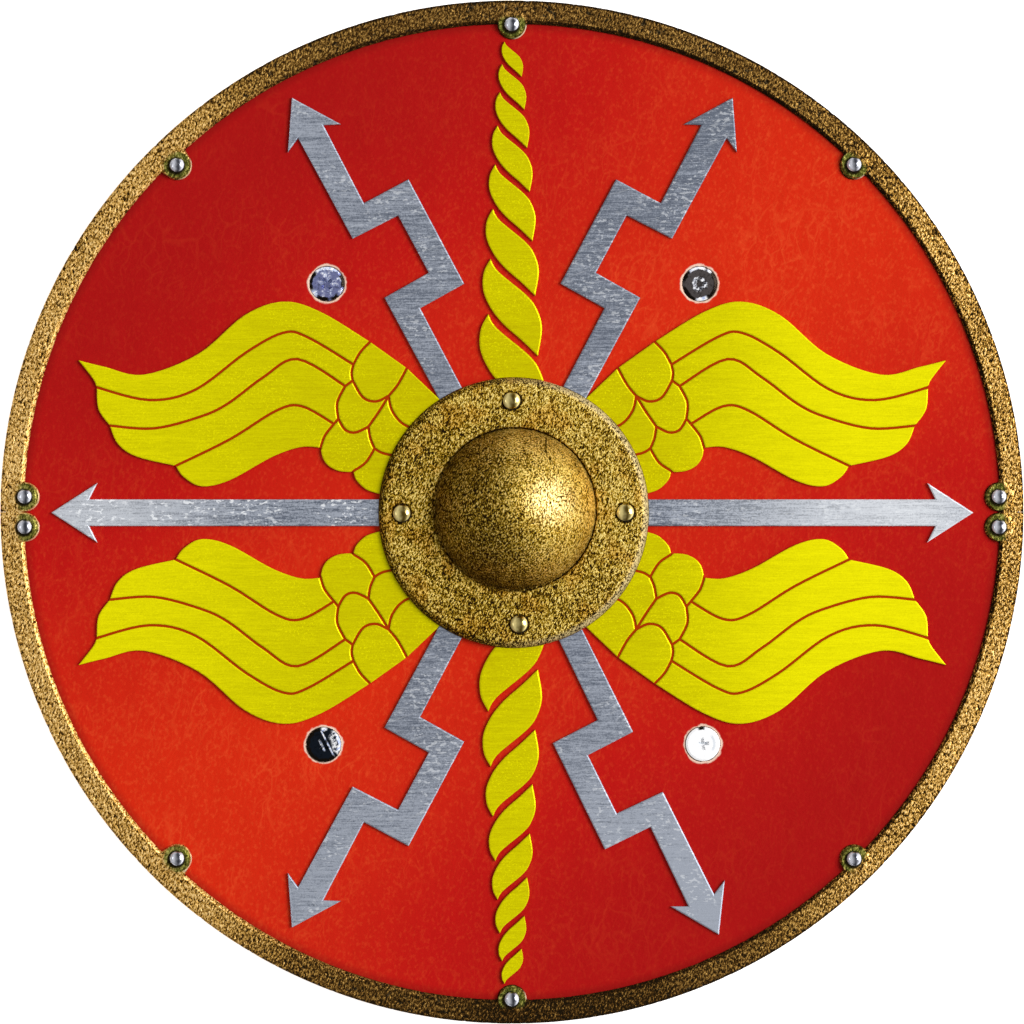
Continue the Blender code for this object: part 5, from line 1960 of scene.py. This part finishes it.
def make_strap(node, x):
    bm = bmesh.new()
    layer = bm.verts.layers.float.new("edge")
    stations = [-STRAP_END + 2 * STRAP_END * step / STRAP_STEPS for step in range(STRAP_STEPS + 1)]
    rings = []
    for y in stations:
        out = strap_out(y)
        half = strap_half_width(y)
        ring = []
        for across, away in strap_section(half):
            vert = bm.verts.new((x + across, y + out.x * away, strap_height(y) + out.y * away))
            to_edge = min(half - abs(across), STRAP_END - abs(y))
            vert[layer] = min(max(1.0 - to_edge / WAXED_EDGE, 0.0), 1.0)
            ring.append(vert)
        rings.append(ring)
    join_rings(bm, rings)
    strap = add_mesh(f"leather_{node}", bm, brown_leather, sharp=ROUNDED_EDGE)
    cut_with(strap, strap_holes)
    join_shield(strap, "strap_leather", node)


strap_holes = add_cylinder_cutter(
    "strap_holes", SCREWS, BORE_RADIUS, STRAP_LOW, BOARD_FRONT, HOLE_SIDES
)
strap_x = sum(abs(x) for x, y in SCREWS) / len(SCREWS)
make_strap("strap_left", -strap_x)
make_strap("strap_right", strap_x)

# %% [markdown]
# A row of waxed thread runs near each edge of a strap, sunk in a groove so that nothing rubs it through.
# The row is a curve that follows the strap's middle line, moved sideways. Geometry Nodes space stitches
# evenly along it and turn each one to lie along the curve. A stitch is a small ball pulled long, with
# only a few faces, because there are hundreds.

# %% The stitches
THREAD_RADIUS = 0.38 * MM
LINEN = rgb(206, 184, 140)
LINEN_SHADE = rgb(150, 124, 84)


def stitch_tree(material):
    graph, path, size = new_tree(
        "stitches", Stitch_Gap=3.4 * MM, Stitch_Length=2.5 * MM, Thread_Radius=THREAD_RADIUS
    )
    line = graph.add("GeometryNodeMeshToCurve", {}, {"Mesh": path})
    spaced = graph.add(
        "GeometryNodeCurveToPoints", {"mode": "LENGTH"}, {"Curve": line, "Length": size["Stitch_Gap"]}
    )
    turned = Field(graph, spaced.socket.node.outputs["Rotation"])
    ball = graph.add("GeometryNodeMeshUVSphere", {}, {"Segments": 8, "Rings": 5, "Radius": 1.0})
    half = size["Stitch_Length"] * 0.5
    scale = graph.add(
        "ShaderNodeCombineXYZ", {}, {"X": size["Thread_Radius"], "Y": size["Thread_Radius"], "Z": half}
    )
    stitches = graph.add(
        "GeometryNodeInstanceOnPoints", {},
        {"Points": spaced, "Instance": ball, "Rotation": turned, "Scale": scale},
    )
    close_tree(graph, stitches, material)
    return graph


def make_thread():
    f = Finish("waxed linen thread")
    twist = f.noise(2500.0, detail=2.0)
    colour = f.mix(f.ramp(twist, 0.35, 0.65), LINEN_SHADE, LINEN)
    return f.finished(height=twist * 0.08 * MM, Base_Color=colour, Roughness=0.7)


thread = make_thread()
stitching = stitch_tree(thread)
for node, middle in (("strap_left", -strap_x), ("strap_right", strap_x)):
    verts, edges = [], []
    for side in (-1, 1):
        for face in (-1, 1):
            first = len(verts)
            for step in range(STRAP_STEPS + 1):
                y = (-1 + 2 * step / STRAP_STEPS) * (STRAP_END - STITCH_INSET)
                out = strap_out(y) * (STRAP_THICKNESS / 2 - THREAD_RADIUS) * face
                across = side * (strap_half_width(y) - STITCH_INSET)
                verts.append((middle + across, y + out.x, strap_height(y) + out.y))
            edges += [(first + step, first + step + 1) for step in range(STRAP_STEPS)]
    stitches = add_points(f"stitches_{node}", verts, edges)
    run_tree(stitches, stitching)
    join_shield(stitches, "strap_leather")

# %% [markdown]
# ## The board
# The board is birch plywood. Its solid from the model is already right, so it only gets a material: rings
# of growth seen as long waves along the face, fine pores and a few stains. Its edge, where the plies would
# show, lies inside the channel.

# %% The board's wood
BIRCH = rgb(198, 158, 108)
BIRCH_GROWTH = rgb(166, 120, 74)
BIRCH_PORE = rgb(116, 78, 44)
BIRCH_STAIN = rgb(104, 70, 40)


def make_plywood():
    f = Finish("birch plywood")
    flow = f.noise((9.0, 60.0, 9.0), detail=3.0)
    wave = flow.math("SINE", flow * 46.0 + f.y * 130.0)
    pore = f.noise((160.0, 2400.0, 160.0), detail=3.0)
    colour = f.mix(wave * 0.35 + 0.5, BIRCH, BIRCH_GROWTH)
    colour = f.mix(f.ramp(pore, 0.52, 0.70) * 0.5, colour, BIRCH_PORE)
    stain = f.ramp(f.noise(14.0, detail=4.0), 0.45, 0.75)
    colour = f.mix(stain * 0.35, colour, BIRCH_STAIN)
    height = pore * -0.05 * MM + wave * 0.02 * MM
    return f.finished(height=height, Base_Color=colour, Roughness=0.6 + pore * 0.15)


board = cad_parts["board"]
board.data.materials.clear()
board.data.materials.append(make_plywood())
print("board keeps its solid, with", board.data.materials[0].name)
